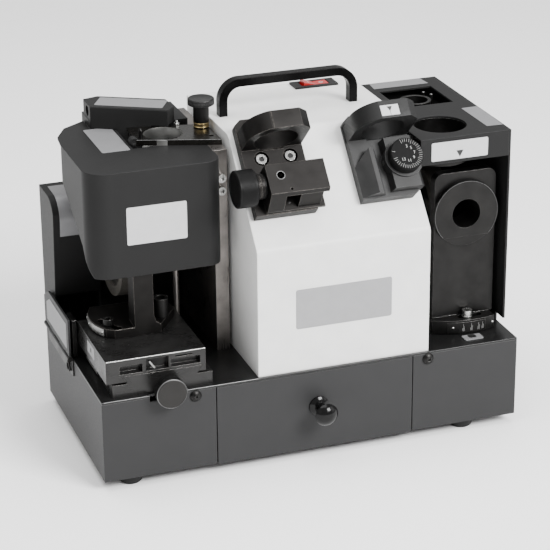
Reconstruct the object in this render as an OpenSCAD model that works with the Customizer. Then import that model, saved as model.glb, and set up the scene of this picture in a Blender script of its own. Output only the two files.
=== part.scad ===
// Drill bit and end mill sharpener: a bench machine with a drawer base, a white
// motor housing, an end mill station on the left, a drill station on the right
// and two setting gauges on the sloping front.
//
// All pieces are drawn in the base's own frame (x from its left side, y from its
// front, z from its underside) and at_base() moves them to the part's frame, whose
// origin is the middle of the ground area under the feet. Gauge pieces are drawn
// flat, as x, distance up the slope and height off it, and on_slant() lays them
// on the sloping front.

/* [Base] */
// Width of the base box
base_w = 400; // [390:1:440]
// Depth of the base box
base_d = 202; // [200:1:230]
// Height of the base box, deck included
base_h = 78; // [70:1:100]
// Thickness of the sheet metal
sheet = 2; // [1.5:0.1:2.5]
// Diameter of a rubber foot
foot_d = 22; // [16:1:30]
// Height of a rubber foot
foot_h = 10; // [8:1:20]

/* [Drawer] */
// Left edge of the drawer front
drawer_x = 106; // [104:1:112]
// Distance of the drawer front from the base's right side
drawer_right = 105.5; // [102:0.5:130]
// Depth of the drawer box behind its front
drawer_d = 186; // [150:1:190]
// Height of the drawer box
drawer_h = 58; // [40:1:60]
// Gap round the drawer front
drawer_gap = 1; // [0.6:0.1:1.5]
// Diameter of the ball of the drawer knob
drawer_knob_d = 22; // [18:1:28]
// How far the drawer knob stands out
drawer_knob_reach = 27; // [24:1:34]

/* [Motor housing] */
// Left side of the white housing
housing_x = 146; // [144:0.5:150]
// Width of the drill station to its right
station_w = 89; // [86:0.5:94]
// Set-back of its front wall from the base front
housing_front = 2; // [1:0.5:5]
// Height of the vertical front wall above the deck
housing_front_h = 120; // [110:1:125]
// Height of the housing above the deck
housing_h = 205; // [203:1:215]
// Angle of the sloping front from the horizontal
slant_angle = 48; // [46:0.5:50]
// Thickness of the housing wall
housing_wall = 2; // [1.5:0.1:3]

/* [Handle] */
// Distance of the handle's left leg from the housing's left side
handle_left = 12.5; // [8:0.5:20]
// Distance of its right leg from the housing's right side
handle_right = 25.5; // [20:0.5:35]
// Height of the handle above the housing
handle_h = 34.5; // [30:0.5:50]
// Width of the handle bar, seen from the front
handle_bar_w = 7.6; // [6:0.1:10]
// Depth of the handle bar, front to back
handle_bar_d = 10; // [8:0.5:14]
// Radius of the inside of a handle corner
handle_bend = 13; // [10:1:20]
// Distance of the handle from the base front
handle_y = 133; // [125:1:145]

/* [Spindle] */
// Distance of the spindle axis from the base front
spindle_y = 130; // [128:1:134]
// Height of the spindle axis above the deck
spindle_z = 92; // [90:1:95]
// Diameter of the spindle shaft
shaft_d = 16; // [12:0.5:18]
// Running clearance round the shaft, on the radius
shaft_play = 0.05; // [0.03:0.01:0.09]
// Diameter of a grinding wheel
wheel_d = 90; // [80:1:92]
// Width of the left grinding wheel
wheel_left_w = 14; // [10:1:16]
// Width of the right grinding wheel
wheel_right_w = 18; // [12:1:24]
// Diameter of the motor body
motor_d = 96; // [80:1:110]

/* [Left station] */
// Thickness of the left side frame
frame_t = 12.5; // [10:0.5:14]
// Gap between the side frame and the white housing
frame_gap = 3.5; // [3:0.5:6]
// Distance of the side frame's front edge from the base front
frame_front = 72; // [70:1:78]
// Height of the side frame above the deck
frame_h = 194; // [190:1:196]
// Thickness of the chuck plate on top
top_plate_t = 5; // [4:0.5:8]
// Bore of the chuck plate
top_bore_d = 36; // [30:0.5:38]
// Left side of the front cover
cover_x = 7; // [5:0.5:9]
// Front of the front cover
cover_front = 45; // [43:1:48]
// Height of the front cover's lower edge above the deck
cover_drop = 96; // [90:1:104]
// Radius of the cover's left corner
cover_round_left = 20; // [12:1:22]
// Radius of the cover's right corner
cover_round_right = 14; // [8:1:16]
// Height of the rear hood above the side frame
hood_rise = 21; // [18:1:24]
// Diameter of the knurled clamp screw's head
clamp_head_d = 24; // [18:1:24]

/* [Slide] */
// Width of the dovetail base block
slide_w = 92; // [88:1:94]
// Length of the dovetail base block
slide_l = 104; // [96:1:110]
// Travel of the carriage each way
slide_travel = 4; // [2:0.5:4]
// Height of the carriage top above the deck
carriage_top = 35.5; // [34:0.5:38]
// Clearance in the dovetail
slide_play = 0.3; // [0.3:0.05:0.5]
// Diameter of the feed knob
feed_knob_d = 28; // [24:1:30]
// Radius of the graduated edge of the swivel plate
swivel_r = 52; // [50:1:53]
// Thickness of the swivel plate
swivel_t = 8.5; // [7:0.5:10]
// Swing of the end mill swivel each way, in degrees
swivel_swing = 15; // [10:1:16]

/* [Flap] */
// Length of the side flap
flap_l = 91; // [80:1:95]
// Height of the side flap
flap_h = 39; // [30:1:42]
// Outer diameter of the flap hinge
hinge_d = 5; // [4:0.5:6]

/* [Drill station] */
// Set-back of the drill cover from the base front
tower_front = 27.5; // [26:0.5:29]
// Height of the drill cover above the deck
tower_h = 195.5; // [194:0.5:200]
// Depth of the band across the front of the drill cover
tower_band = 24.5; // [18:0.5:26]
// Bore of the point angle socket
point_bore_d = 28; // [20:0.5:30]
// Diameter of the point angle socket
point_socket_d = 63; // [56:0.5:64]
// Height of the point angle socket's axis above the deck
point_axis_z = 116.5; // [114:0.5:118]
// Width of the point angle bracket
point_bracket_w = 61; // [50:0.5:62]
// Diameter of the round opening for the relief socket
relief_open_d = 49; // [44:0.5:50]
// Bore of the web thinning socket
web_bore_d = 24; // [18:0.5:26]

/* [Gauges] */
// Width of a gauge's base plate
gauge_w = 57.5; // [56:0.5:58]
// Thickness of a gauge's base plate
gauge_t = 10; // [9:0.5:11]
// Outer radius of a gauge's chuck ring
ring_r = 28; // [26:0.5:28]
// Bore of a gauge's chuck ring
ring_bore_d = 40; // [34:0.5:42]
// Width of a gauge's chuck ring along the slope
ring_t = 17; // [14:0.5:18]
// Diameter of the graduated dial
dial_d = 31; // [26:0.5:31]
// Diameter of the jaw knob
jaw_knob_d = 33.5; // [26:0.5:34]
// Travel of the jaw towards the screw
jaw_travel = 12; // [8:1:13]

/* [Hidden] */

$fn = 64;
eps = 0.01;
cut = 1;                      // how far a cutting tool runs past a face
gap = 0.3;                    // clearance between pieces that move past each other
fit = 0.05;                   // radial clearance of a running fit
deck = base_h;                // height of the deck above the base's underside
housing_x1 = base_w - station_w;
housing_w = housing_x1 - housing_x;
drawer_w = base_w - drawer_right - drawer_x;

// The part's frame: middle of everything that stands on the ground, at the ground
hinge_out = hinge_d + 0.5;
inlet_out = 2.5;
base_left = (hinge_out - base_w) / 2;
base_front = (drawer_knob_reach - base_d - inlet_out) / 2;

module at_base() { translate([base_left, base_front, foot_h]) children(); }

// ---------- shared shapes ----------

// A box given by its two corners
module block(low, high) { translate(low) cube(high - low); }

// A cylinder along x, y or z from a start point
module rod_x(start, d, l) { translate(start) rotate([0, 90, 0]) cylinder(d = d, h = l); }
module rod_y(start, d, l) { translate(start) rotate([-90, 0, 0]) cylinder(d = d, h = l); }
module rod_z(start, d, l) { translate(start) cylinder(d = d, h = l); }

// A profile drawn as y, z and carried along x from x0 to x1
module along_x(x0, x1) {
    translate([x0, 0, 0]) rotate([90, 0, 90]) linear_extrude(x1 - x0) children();
}

// A profile drawn as x, z and carried along y from y0 to y1
module along_y(y0, y1) {
    translate([0, y1, 0]) rotate([90, 0, 0]) linear_extrude(y1 - y0) children();
}

// A socket head screw along z: the head stands on z = 0 and the shank goes down
module cap_screw(d, shank) {
    head_d = 1.6 * d;
    difference() {
        cylinder(d = head_d, h = d);
        translate([0, 0, 0.45 * d]) cylinder(d = 0.9 * d, h = d, $fn = 6);
    }
    translate([0, 0, -shank]) cylinder(d = d, h = shank + eps);
}

// A button head screw along z, with a domed head
module button_screw(d, shank) {
    head_r = 0.92 * d;
    head_h = 0.55 * d;
    dome_h = 0.85 * head_h;
    dome_r = (head_r * head_r + dome_h * dome_h) / (2 * dome_h);
    difference() {
        intersection() {
            cylinder(r = head_r, h = head_h);
            translate([0, 0, head_h - dome_r]) sphere(r = dome_r);
        }
        translate([0, 0, 0.3 * d]) cylinder(d = 0.6 * d, h = d, $fn = 6);
    }
    translate([0, 0, -shank]) cylinder(d = d, h = shank + eps);
}

// A wedge with its point at the origin, from angle a0 to a1
module wedge(reach, a0, a1) {
    polygon([[0, 0], for (a = [a0, (a0 + a1) / 2, a1]) reach * [cos(a), sin(a)]]);
}

// A round arc slot through a plate: radius r, width w, from angle a0 to a1
module arc_slot(r, w, a0, a1, z0, z1) {
    translate([0, 0, z0]) {
        linear_extrude(z1 - z0) intersection() {
            difference() {
                circle(r + w / 2);
                circle(r - w / 2);
            }
            wedge(2 * r, a0, a1);
        }
        for (a = [a0, a1]) rotate([0, 0, a]) translate([r, 0, 0]) cylinder(d = w + 2 * eps, h = z1 - z0);
    }
}

// ---------- base ----------

screw_d = 6;                                  // base screws
screw_hole_d = screw_d + 0.2;
base_screw_z = base_h - 7;
base_screw_xs = [drawer_x - 20, drawer_x + drawer_w + 15.5];
bay_left = drawer_x - drawer_gap;             // outer faces of the drawer bay
bay_right = drawer_x + drawer_w + drawer_gap;
foot_xs = [28, base_w - 48];
foot_ys = [16, base_d - 24];
box_top = base_h - sheet;
knob_x = 61;                                  // feed knob's axis
knob_z = 82.5;
notch_half = feed_knob_d / 2 + 3;
inlet_x = base_w - 70;
inlet_z = 38;
inlet_w = 28;
inlet_h = 22;

module base_box() {
    color("dimgray") at_base() difference() {
        cube([base_w, base_d, box_top]);
        block([sheet, sheet, sheet], [base_w - sheet, base_d + cut, base_h]);
        // the front is open for the drawer, and the floor starts behind its front plate
        block([bay_left, -cut, -cut], [bay_right, sheet + 0.5, base_h]);
        // notch below the feed knob
        block([knob_x - notch_half, -cut, box_top - 4], [knob_x + notch_half, sheet + cut, base_h]);
        for (x = base_screw_xs) rod_y([x, -cut, base_screw_z], screw_hole_d, sheet + 2 * cut);
    }
}

// The back wall, with the opening of the power inlet, and the two walls beside the drawer
module box_walls() {
    color("dimgray") at_base() {
        difference() {
            block([sheet, base_d - sheet, sheet], [base_w - sheet, base_d, box_top]);
            block([inlet_x - inlet_w / 2, base_d - sheet - cut, inlet_z - inlet_h / 2],
                  [inlet_x + inlet_w / 2, base_d + cut, inlet_z + inlet_h / 2]);
        }
        for (x = [bay_left - sheet, bay_right])
            block([x, sheet, sheet], [x + sheet, base_d - sheet - fit, box_top]);
    }
}

module deck_plate() {
    color("black") at_base() difference() {
        translate([0, 0, box_top]) cube([base_w, base_d, sheet]);
        block([knob_x - notch_half, -cut, box_top - cut], [knob_x + notch_half, sheet + cut, base_h + cut]);
    }
}

// A turned rubber foot with a washer recess below
module foot(x, y) {
    color([0.08, 0.08, 0.08]) at_base() translate([x, y, -foot_h]) difference() {
        rotate_extrude()
            polygon([[0, 0], [foot_d / 2 - 2.5, 0], [foot_d / 2 - 1, 1.2], [foot_d / 2, foot_h],
                     [0, foot_h]]);
        translate([0, 0, -eps]) cylinder(d = foot_d * 0.4, h = 3);
    }
}

module foot_1() { foot(foot_xs[0], foot_ys[0]); }
module foot_2() { foot(foot_xs[1], foot_ys[0]); }
module foot_3() { foot(foot_xs[0], foot_ys[1]); }
module foot_4() { foot(foot_xs[1], foot_ys[1]); }

module base_screws() {
    color([0.1, 0.1, 0.1]) at_base() for (x = base_screw_xs)
        translate([x, 0, base_screw_z]) rotate([90, 0, 0]) button_screw(screw_d, 8);
}

// ---------- drawer ----------

tray_gap = 1.5;                               // running gap at each side of the drawer box
tray_lift = 0.4;                              // running gap under it
tray_wall = 1.5;
tray_low = [bay_left + tray_gap, sheet, sheet + tray_lift];
tray_high = [bay_right - tray_gap, sheet + drawer_d, sheet + tray_lift + drawer_h];
front_drop = 1;                               // the front plate hangs below the box
drawer_knob_z = base_h - 36.5;
drawer_knob_x = drawer_x + drawer_w / 2 + 2.5;
knob_screw_d = 5;

module drawer_box() {
    color("gray") at_base() difference() {
        block(tray_low, tray_high);
        block(tray_low + [tray_wall, tray_wall, tray_wall], tray_high + [-tray_wall, -tray_wall, cut]);
        rod_y([drawer_knob_x, 0, drawer_knob_z], knob_screw_d + 0.4, sheet + tray_wall + cut);
    }
}

module drawer_front() {
    color("dimgray") at_base() difference() {
        block([drawer_x, 0, -front_drop], [drawer_x + drawer_w, sheet, box_top - 0.5]);
        rod_y([drawer_knob_x, -cut, drawer_knob_z], knob_screw_d + 0.4, sheet + 2 * cut);
    }
}

module drawer_knob() {
    ball_r = drawer_knob_d / 2;
    flange_r = ball_r - 1.5;
    neck_r = 5;
    color([0.07, 0.07, 0.07]) at_base() translate([drawer_knob_x, 0, drawer_knob_z]) rotate([90, 0, 0]) {
        rotate_extrude() difference() {
            union() {
                square([neck_r, drawer_knob_reach - 4]);
                // domed flange against the drawer
                intersection() {
                    square([flange_r, 5]);
                    translate([0, 5 - flange_r * 1.6]) circle(flange_r * 1.6);
                }
                // flattened ball
                intersection() {
                    translate([0, drawer_knob_reach - 10]) square([ball_r, 10]);
                    translate([0, drawer_knob_reach - ball_r * 1.15]) circle(ball_r * 1.15);
                    translate([ball_r - 5, drawer_knob_reach - 5]) union() {
                        circle(5);
                        translate([-ball_r, -5]) square([ball_r, 10]);
                    }
                }
            }
            translate([-cut, -cut]) square([cut, drawer_knob_reach + 2 * cut]);
        }
        translate([0, 0, -(sheet + tray_wall + 3)])
            cylinder(d = knob_screw_d, h = sheet + tray_wall + 3 + eps);
    }
}

// ---------- motor housing ----------

top_z = deck + housing_h;
slant_low = [housing_front, deck + housing_front_h];        // y, z where the slope starts
spindle_h = deck + spindle_z;
shaft_hole_d = shaft_d + 10;
bend_low = 8;                                 // bend radii of the sheet
bend_top = 12;
vent_count = 9;
vent_pitch = 12;

function unit(v) = v / norm(v);

// What rounding a convex corner p between its neighbours a and b takes away
module corner_waste(p, a, b, r) {
    u = unit(a - p);
    v = unit(b - p);
    half = acos(u * v) / 2;
    middle = p + unit(u + v) * r / sin(half);
    difference() {
        polygon([middle, middle + 1.3 * (p + u * r / tan(half) - middle), middle + 1.5 * (p - middle),
                 middle + 1.3 * (p + v * r / tan(half) - middle)]);
        translate(middle) circle(r + 2 * eps);
    }
}

// A convex outline moved inwards by t
function inset(points, t) = let (n = len(points)) [for (k = [0 : n - 1])
    let (p = points[k], u = unit(points[(k + n - 1) % n] - p), v = unit(points[(k + 1) % n] - p))
    p + unit(u + v) * t / sin(acos(u * v) / 2)];

// Side profile of the housing in y, z, moved inwards by i
module housing_profile(i) {
    front = housing_front + i;
    back = base_d - i;
    top = top_z - i;
    low = [front, slant_low[1] + i * (sin(slant_angle) - 1) / cos(slant_angle)];
    high = [slant_low[0] + ((top - slant_low[1]) * cos(slant_angle) + i) / sin(slant_angle), top];
    difference() {
        polygon([[front, deck - i], low, high, [back, top], [back, deck - i]]);
        corner_waste(low, [front, deck], high, bend_low - i);
        corner_waste(high, low, [back, top], bend_top - i);
    }
}

// Gauge frame: x, distance up the slope, height off the slope
module on_slant() {
    translate([0, slant_low[0], slant_low[1]]) rotate([slant_angle, 0, 0]) children();
}

switch_x = housing_x1 - 41.5;                 // middle of the switch
switch_y = base_d - 11;
bezel_w = 43;
bezel_d = 19;
switch_cut_w = 38;
switch_cut_d = 16;
handle_span = housing_w - handle_left - handle_right;
handle_x = housing_x + handle_left + handle_span / 2;

gauge_screw_d = 6;
gauge_hole_d = gauge_screw_d + 0.6;
mill_x = housing_x + 4.5;                     // left edge of the end mill gauge
gauge_screw_at = [[mill_x + 17.5, 83.5], [mill_x + 44.5, 83.5]];

module main_housing() {
    color("whitesmoke") at_base() difference() {
        along_x(housing_x, housing_x1) intersection() {
            housing_profile(0);
            translate([0, deck]) square([base_d, housing_h]);
        }
        along_x(housing_x + housing_wall, housing_x1 - housing_wall) housing_profile(housing_wall);
        rod_x([housing_x - cut, spindle_y, spindle_h], shaft_hole_d, housing_w + 2 * cut);
        block([switch_x - switch_cut_w / 2, switch_y - switch_cut_d / 2, top_z - housing_wall - cut],
              [switch_x + switch_cut_w / 2, switch_y + switch_cut_d / 2, top_z + cut]);
        on_slant() for (p = gauge_screw_at)
            rod_z([p[0], p[1], -4 * housing_wall], gauge_hole_d, 5 * housing_wall);
        // cooling slots in the back
        for (k = [0 : vent_count - 1])
            block([housing_x + 30, base_d - housing_wall - cut, deck + 40 + k * vent_pitch],
                  [housing_x1 - 30, base_d + cut, deck + 45 + k * vent_pitch]);
    }
}

module handle() {
    outer = handle_span / 2 + handle_bar_w / 2;
    inner = handle_span / 2 - handle_bar_w / 2;
    inner_h = handle_h - handle_bar_w;
    color([0.06, 0.06, 0.06]) at_base() translate([handle_x, 0, top_z])
        along_y(handle_y - handle_bar_d / 2, handle_y + handle_bar_d / 2) difference() {
            polygon([[-outer, 0], [outer, 0], [outer, handle_h], [-outer, handle_h]]);
            for (k = [-1, 1])
                corner_waste([k * outer, handle_h], [k * outer, 0], [-k * outer, handle_h],
                             handle_bend + handle_bar_w);
            difference() {
                polygon([[-inner, -cut], [inner, -cut], [inner, inner_h], [-inner, inner_h]]);
                for (k = [-1, 1])
                    corner_waste([k * inner, inner_h], [k * inner, 0], [-k * inner, inner_h], handle_bend);
            }
        }
}

rocker_l = 25;                                // rocker length, width and pivot pin
rocker_w = 12;
rocker_pin_d = 3;
rocker_tilt = 7;                              // lean at rest, one end down
rocker_axis_z = top_z - 2;
window_l = rocker_l + 3.5;

module switch_bezel() {
    color([0.1, 0.1, 0.1]) at_base() difference() {
        union() {
            block([switch_x - bezel_w / 2, switch_y - bezel_d / 2, top_z],
                  [switch_x + bezel_w / 2, switch_y + bezel_d / 2, top_z + 2]);
            block([switch_x - switch_cut_w / 2 + fit, switch_y - switch_cut_d / 2 + fit, top_z - 20],
                  [switch_x + switch_cut_w / 2 - fit, switch_y + switch_cut_d / 2 - fit, top_z + eps]);
        }
        block([switch_x - window_l / 2, switch_y - rocker_w / 2 - gap, top_z - 14],
              [switch_x + window_l / 2, switch_y + rocker_w / 2 + gap, top_z + 2 + cut]);
        rod_y([switch_x, switch_y - rocker_w / 2 - 1.3, rocker_axis_z], rocker_pin_d + 2 * fit,
              rocker_w + 2.6);
    }
}

module switch_rocker() {
    color("red") at_base() {
        translate([switch_x, 0, rocker_axis_z]) rotate([0, rocker_tilt, 0])
            along_y(switch_y - rocker_w / 2, switch_y + rocker_w / 2)
                polygon([[-rocker_l / 2, -3], [-6, -9], [6, -9], [rocker_l / 2, -3],
                         [rocker_l / 2, 5.5], [0, 3.5], [-rocker_l / 2, 5.5]]);
        rod_y([switch_x, switch_y - rocker_w / 2 - 1.1, rocker_axis_z], rocker_pin_d, rocker_w + 2.2);
    }
}

// ---------- left station ----------

frame_x1 = housing_x - frame_gap;
frame_x0 = frame_x1 - frame_t;
frame_top = deck + frame_h;
frame_screw_d = 5;
frame_screw_zs = [deck + 168.5, deck + 156.5];
clamp_at = [frame_x0 + frame_t / 2, spindle_y - 4];
clamp_shank_d = 8;
top_bore = [frame_x0 - 32, spindle_y - 10];   // axis of the end mill chuck
pin_d = 4;
pin_at = top_bore + [-21.5, -2];
top_screw_at = [frame_x0 + frame_t / 2 + 0.5, 99];

module left_frame() {
    color([0.28, 0.27, 0.26]) at_base() difference() {
        block([frame_x0, frame_front, deck], [frame_x1, base_d - sheet, frame_top]);
        rod_x([frame_x0 - cut, spindle_y, spindle_h], shaft_hole_d, frame_t + 2 * cut);
        rod_z([clamp_at[0], clamp_at[1], frame_top - 16], clamp_shank_d + 2 * fit, 17);
        for (z = frame_screw_zs)
            rod_y([frame_x0 + frame_t / 2, frame_front - cut, z], frame_screw_d + 0.2, 16);
    }
}

module frame_screws() {
    color([0.35, 0.35, 0.35]) at_base() for (z = frame_screw_zs)
        translate([frame_x0 + frame_t / 2, frame_front, z]) rotate([90, 0, 0]) cap_screw(frame_screw_d, 12);
}

skirt_front = spindle_y + 18.3;               // front wall of the rear hood

module top_plate() {
    color([0.22, 0.21, 0.2]) at_base() difference() {
        translate([0, 0, frame_top]) linear_extrude(top_plate_t)
            polygon([top_bore + [-28, -10], [frame_x1, frame_front + 13], [frame_x1, spindle_y + 3],
                     [top_bore[0] - 26.5, skirt_front - 0.8]]);
        rod_z([top_bore[0], top_bore[1], frame_top - cut], top_bore_d, top_plate_t + 2 * cut);
        rod_z([clamp_at[0], clamp_at[1], frame_top - cut], clamp_shank_d + 2 * fit, top_plate_t + 2 * cut);
        rod_z([pin_at[0], pin_at[1], frame_top - cut], pin_d + 2 * fit, top_plate_t + 2 * cut);
        rod_z([top_screw_at[0], top_screw_at[1], frame_top + 1], 5, top_plate_t);
    }
}

module index_pin() {
    color("silver") at_base() translate([pin_at[0], pin_at[1], frame_top]) rotate_extrude()
        polygon([[0, 0], [pin_d / 2, 0], [pin_d / 2, top_plate_t + 6], [pin_d / 2 - 1, top_plate_t + 7.5],
                 [0, top_plate_t + 7.5]]);
}

// Knurled hand screw with a collar, turning in the chuck plate
module clamp_screw() {
    seat = frame_top + top_plate_t + gap;
    neck_r = 7.2;
    head_r = clamp_head_d / 2;
    color([0.12, 0.12, 0.12]) at_base() translate([clamp_at[0], clamp_at[1], seat]) {
        rotate_extrude()
            polygon([[0, 0], [6.4, 0], [6.8, 0.6], [6.8, 3.4], [6.4, 4], [6, 4.4], [neck_r, 5], [neck_r, 21],
                     [head_r - 0.8, 21], [head_r, 21.8], [head_r, 26.2], [head_r - 0.8, 27], [0, 27]]);
        translate([0, 0, -(top_plate_t + 12)]) cylinder(d = clamp_shank_d, h = top_plate_t + 12 + eps);
    }
}

cover_low = deck + cover_drop;
cover_side_back = spindle_y + 6;              // where the cover's left wall ends
roof_cut = [top_bore[0] - 33.3, top_bore[1] - 17];

// Plan of the front cover, moved inwards by i
module cover_plan(i) {
    left = cover_x + i;
    right = frame_x0 - i;
    front = cover_front + i;
    rl = cover_round_left - i;
    rr = cover_round_right - i;
    polygon([[left + rl, front], [right - rr, front], [right, front + rr], [right, cover_side_back + i],
             [left, cover_side_back + i], [left, front + rl]]);
    translate([left + rl, front + rl]) circle(rl);
    translate([right - rr, front + rr]) circle(rr);
}

hood_left = 44;                               // left face of the rear hood
hood_turn = 29.6;                             // its face is turned by this much in plan
hood_set = 23.2;                              // how far its left corner stands behind the skirt
hood_corner = [hood_left, skirt_front + hood_set];
hood_bend = hood_corner + [hood_set / tan(hood_turn), -hood_set];
hood_side = base_d - 6 - hood_corner[1];      // length of its left side

module left_cover() {
    lip = 0.6;                                // gap between the roof and the hood
    color("dimgray") at_base() difference() {
        union() {
            translate([0, 0, cover_low]) linear_extrude(frame_top - cover_low) difference() {
                cover_plan(0);
                cover_plan(sheet);
            }
            translate([0, 0, frame_top - sheet]) linear_extrude(sheet) difference() {
                union() {
                    cover_plan(0);
                    polygon([[cover_x, cover_side_back - cut], [cover_x + 2.5, skirt_front + 9.5],
                             [cover_x + 14, skirt_front + 32], [hood_left - lip, base_d - 6],
                             hood_corner + [-lip, -lip],
                             [roof_cut[0], hood_corner[1] - (roof_cut[0] - hood_left) * tan(hood_turn)
                                           - 2 * lip],
                             [roof_cut[0], cover_side_back - cut]]);
                }
                translate(roof_cut) square([frame_x1, base_d]);
            }
        }
        // the side walls' lower edge climbs towards the back
        along_x(cover_x - cut, frame_x0 + cut)
            polygon([[cover_front + 3, deck], [cover_front + 7, cover_low],
                     [cover_front + 25, cover_low + 25],
                     [cover_side_back + 5, cover_low + 66], [cover_side_back + 5, deck]]);
    }
}

hood_base = deck + 135;                       // where the hood stands on the left housing
hood_shoulder = frame_top + 7;
hood_top = frame_top + hood_rise;

module rear_hood() {
    skirt = [hood_corner, hood_bend, [frame_x0, skirt_front], [frame_x0, base_d], [hood_left, base_d]];
    cap = inset([[hood_left, base_d - 6], hood_corner,
                 hood_corner + 73.6 * [cos(hood_turn), -sin(hood_turn)],
                 [frame_x0 - 13, skirt_front - 2.3], [frame_x0 - 14.5, skirt_front + 20],
                 [hood_left + 15, base_d - 2]], gap);
    color("dimgray") at_base() difference() {
        union() {
            translate([0, 0, hood_base]) linear_extrude(hood_shoulder - hood_base) polygon(skirt);
            translate([0, 0, hood_shoulder - eps]) linear_extrude(hood_top - hood_shoulder + eps)
                polygon(cap);
            // the back wall goes down to the deck
            block([hood_left, base_d - sheet, deck], [frame_x0, base_d, hood_base + eps]);
        }
        translate([0, 0, hood_base - cut]) linear_extrude(hood_shoulder - hood_base - sheet + cut)
            polygon(inset(skirt, sheet));
        translate([0, 0, hood_shoulder + sheet]) linear_extrude(hood_top - hood_shoulder - 2 * sheet)
            polygon(inset(cap, sheet));
        translate([0, 0, hood_shoulder - sheet - cut]) linear_extrude(2 * sheet + 2 * cut) intersection() {
            polygon(inset(skirt, sheet));
            polygon(inset(cap, sheet));
        }
        // round hole in the left side
        rod_x([hood_left - cut, hood_corner[1] + 0.43 * hood_side, hood_top - 7], 0.4 * hood_side,
              sheet + 2 * cut);
    }
}

lh_front = skirt_front + 1.7;                 // left housing: front, top, lean and edge radius
lh_lean = 8;
lh_round = 20;
lh_low = deck + 39;

module left_housing_profile(i, low) {
    top = hood_base - i;
    front = lh_front + i;
    difference() {
        polygon([[front + lh_lean, low], [front + lh_lean, lh_low], [front, top],
                 [base_d - i, top], [base_d - i, low]]);
        corner_waste([front, top], [front, lh_low], [base_d, top], lh_round - i);
    }
}

module left_housing() {
    color("dimgray") at_base() difference() {
        along_x(0, hood_left) left_housing_profile(0, deck);
        along_x(sheet, hood_left - sheet) left_housing_profile(sheet, deck - cut);
        block([sheet, lh_front - cut, deck - cut], [hood_left - sheet, base_d - sheet, lh_low]);
    }
}

// ---------- side flap ----------

hinge_r = hinge_d / 2;
hinge_x = -(hinge_r + 0.5);
hinge_z = deck + 1;
hinge_pin_d = 2.4;
flap_y1 = base_d - 14;
flap_y0 = flap_y1 - flap_l;
knuckles = 5;
knuckle_l = flap_l / knuckles;

// The hinge knuckles with numbers k, k + 2, ... each a little shorter than its share
module knuckle_row(first, bore) {
    for (k = [first : 2 : knuckles - 1]) difference() {
        rod_y([hinge_x, flap_y0 + k * knuckle_l + gap / 2, hinge_z], hinge_d, knuckle_l - gap);
        if (bore > 0) rod_y([hinge_x, flap_y0 + k * knuckle_l - cut, hinge_z], bore, knuckle_l + 2 * cut);
    }
}

module flap_hinge() {
    color([0.12, 0.12, 0.12]) at_base() {
        knuckle_row(0, 0);
        rod_y([hinge_x, flap_y0 + gap / 2, hinge_z], hinge_pin_d, flap_l - gap);
        for (k = [0 : 2 : knuckles - 1])
            block([-1.2, flap_y0 + k * knuckle_l + gap / 2, deck - 16],
                  [0, flap_y0 + (k + 1) * knuckle_l - gap / 2, hinge_z]);
        block([-1.2, flap_y0, deck - 16], [0, flap_y1, deck - 3]);
    }
}

module flap() {
    half_t = sheet / 2;
    color("dimgray") at_base() {
        knuckle_row(1, hinge_pin_d + 2 * fit);
        for (k = [1 : 2 : knuckles - 1]) block(
            [hinge_x - half_t, flap_y0 + k * knuckle_l + gap / 2, hinge_z + hinge_pin_d / 2 + 0.6],
            [hinge_x + half_t, flap_y0 + (k + 1) * knuckle_l - gap / 2, hinge_z + hinge_r + cut]);
        along_x(hinge_x - half_t, hinge_x + half_t)
            polygon([[flap_y0, hinge_z + hinge_r + gap], [flap_y0, deck + flap_h + 1],
                     [flap_y1 - 18, deck + flap_h + 1], [flap_y1, deck + flap_h - 9],
                     [flap_y1, hinge_z + hinge_r + gap]]);
    }
}

module latch_ring() {
    ring_d = 9;
    color([0.1, 0.1, 0.1]) at_base() translate([-2.4, flap_y0 + 11, deck - 10]) {
        rotate([0, 90, 0]) rotate_extrude() translate([ring_d / 2, 0]) circle(0.9);
        rod_x([-1.2, 0, ring_d / 2], 2.4, 2.4);
    }
}

module flap_stop() {
    color([0.1, 0.1, 0.1]) at_base() difference() {
        block([1, flap_y0 + 4, deck], [5, flap_y0 + 24, deck + 37]);
        for (z = [10, 27]) rod_x([3.5, flap_y0 + 14, deck + z], 5, 2);
    }
}

// ---------- dovetail slide with its swivel ----------

slide_x = 12;                                 // left side of the base block
slide_y = 6;                                  // its front
slide_h = 12;                                 // its height below the dovetail
tail_h = 7.5;
tail_half = 32;                               // half width of the dovetail at its foot
tail_flare = tail_h / tan(60);
slide_mid = slide_x + slide_w / 2;
groove_half = 8;                              // groove for the feed screw
feed_d = 6;
bearing_l = 10;
carriage_x0 = slide_mid - 51.5;
carriage_x1 = slide_mid + 40;
carriage_l = 97;
carriage_gap = 2;                             // between block and carriage beside the dovetail
carriage_z = deck + carriage_top;
pivot = [slide_mid + 7.6, slide_y + 78];      // axis of the end mill swivel
pivot_d = 14;
lock_r = 44;
lock_a = 205;
nut_y = [38, 54];                             // nut below the carriage, from the block's front
groove_end = nut_y[1] + slide_travel + 22;

module dovetail(half, z0, z1, flare) {
    polygon([[slide_mid - half, z0], [slide_mid + half, z0], [slide_mid + half + flare, z1],
             [slide_mid - half - flare, z1]]);
}

module dovetail_base() {
    color([0.1, 0.1, 0.1]) at_base() difference() {
        union() {
            block([slide_x, slide_y, deck], [slide_x + slide_w, slide_y + slide_l - 14, deck + slide_h]);
            along_y(slide_y, slide_y + slide_l - 14)
                dovetail(tail_half, deck + slide_h - eps, deck + slide_h + tail_h, tail_flare);
        }
        block([knob_x - groove_half, slide_y + bearing_l, deck - cut],
              [knob_x + groove_half, slide_y + groove_end, deck + slide_h + tail_h + cut]);
        rod_y([knob_x, slide_y - cut, knob_z], feed_d + 2 * fit, bearing_l + 2 * cut);
    }
}

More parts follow.
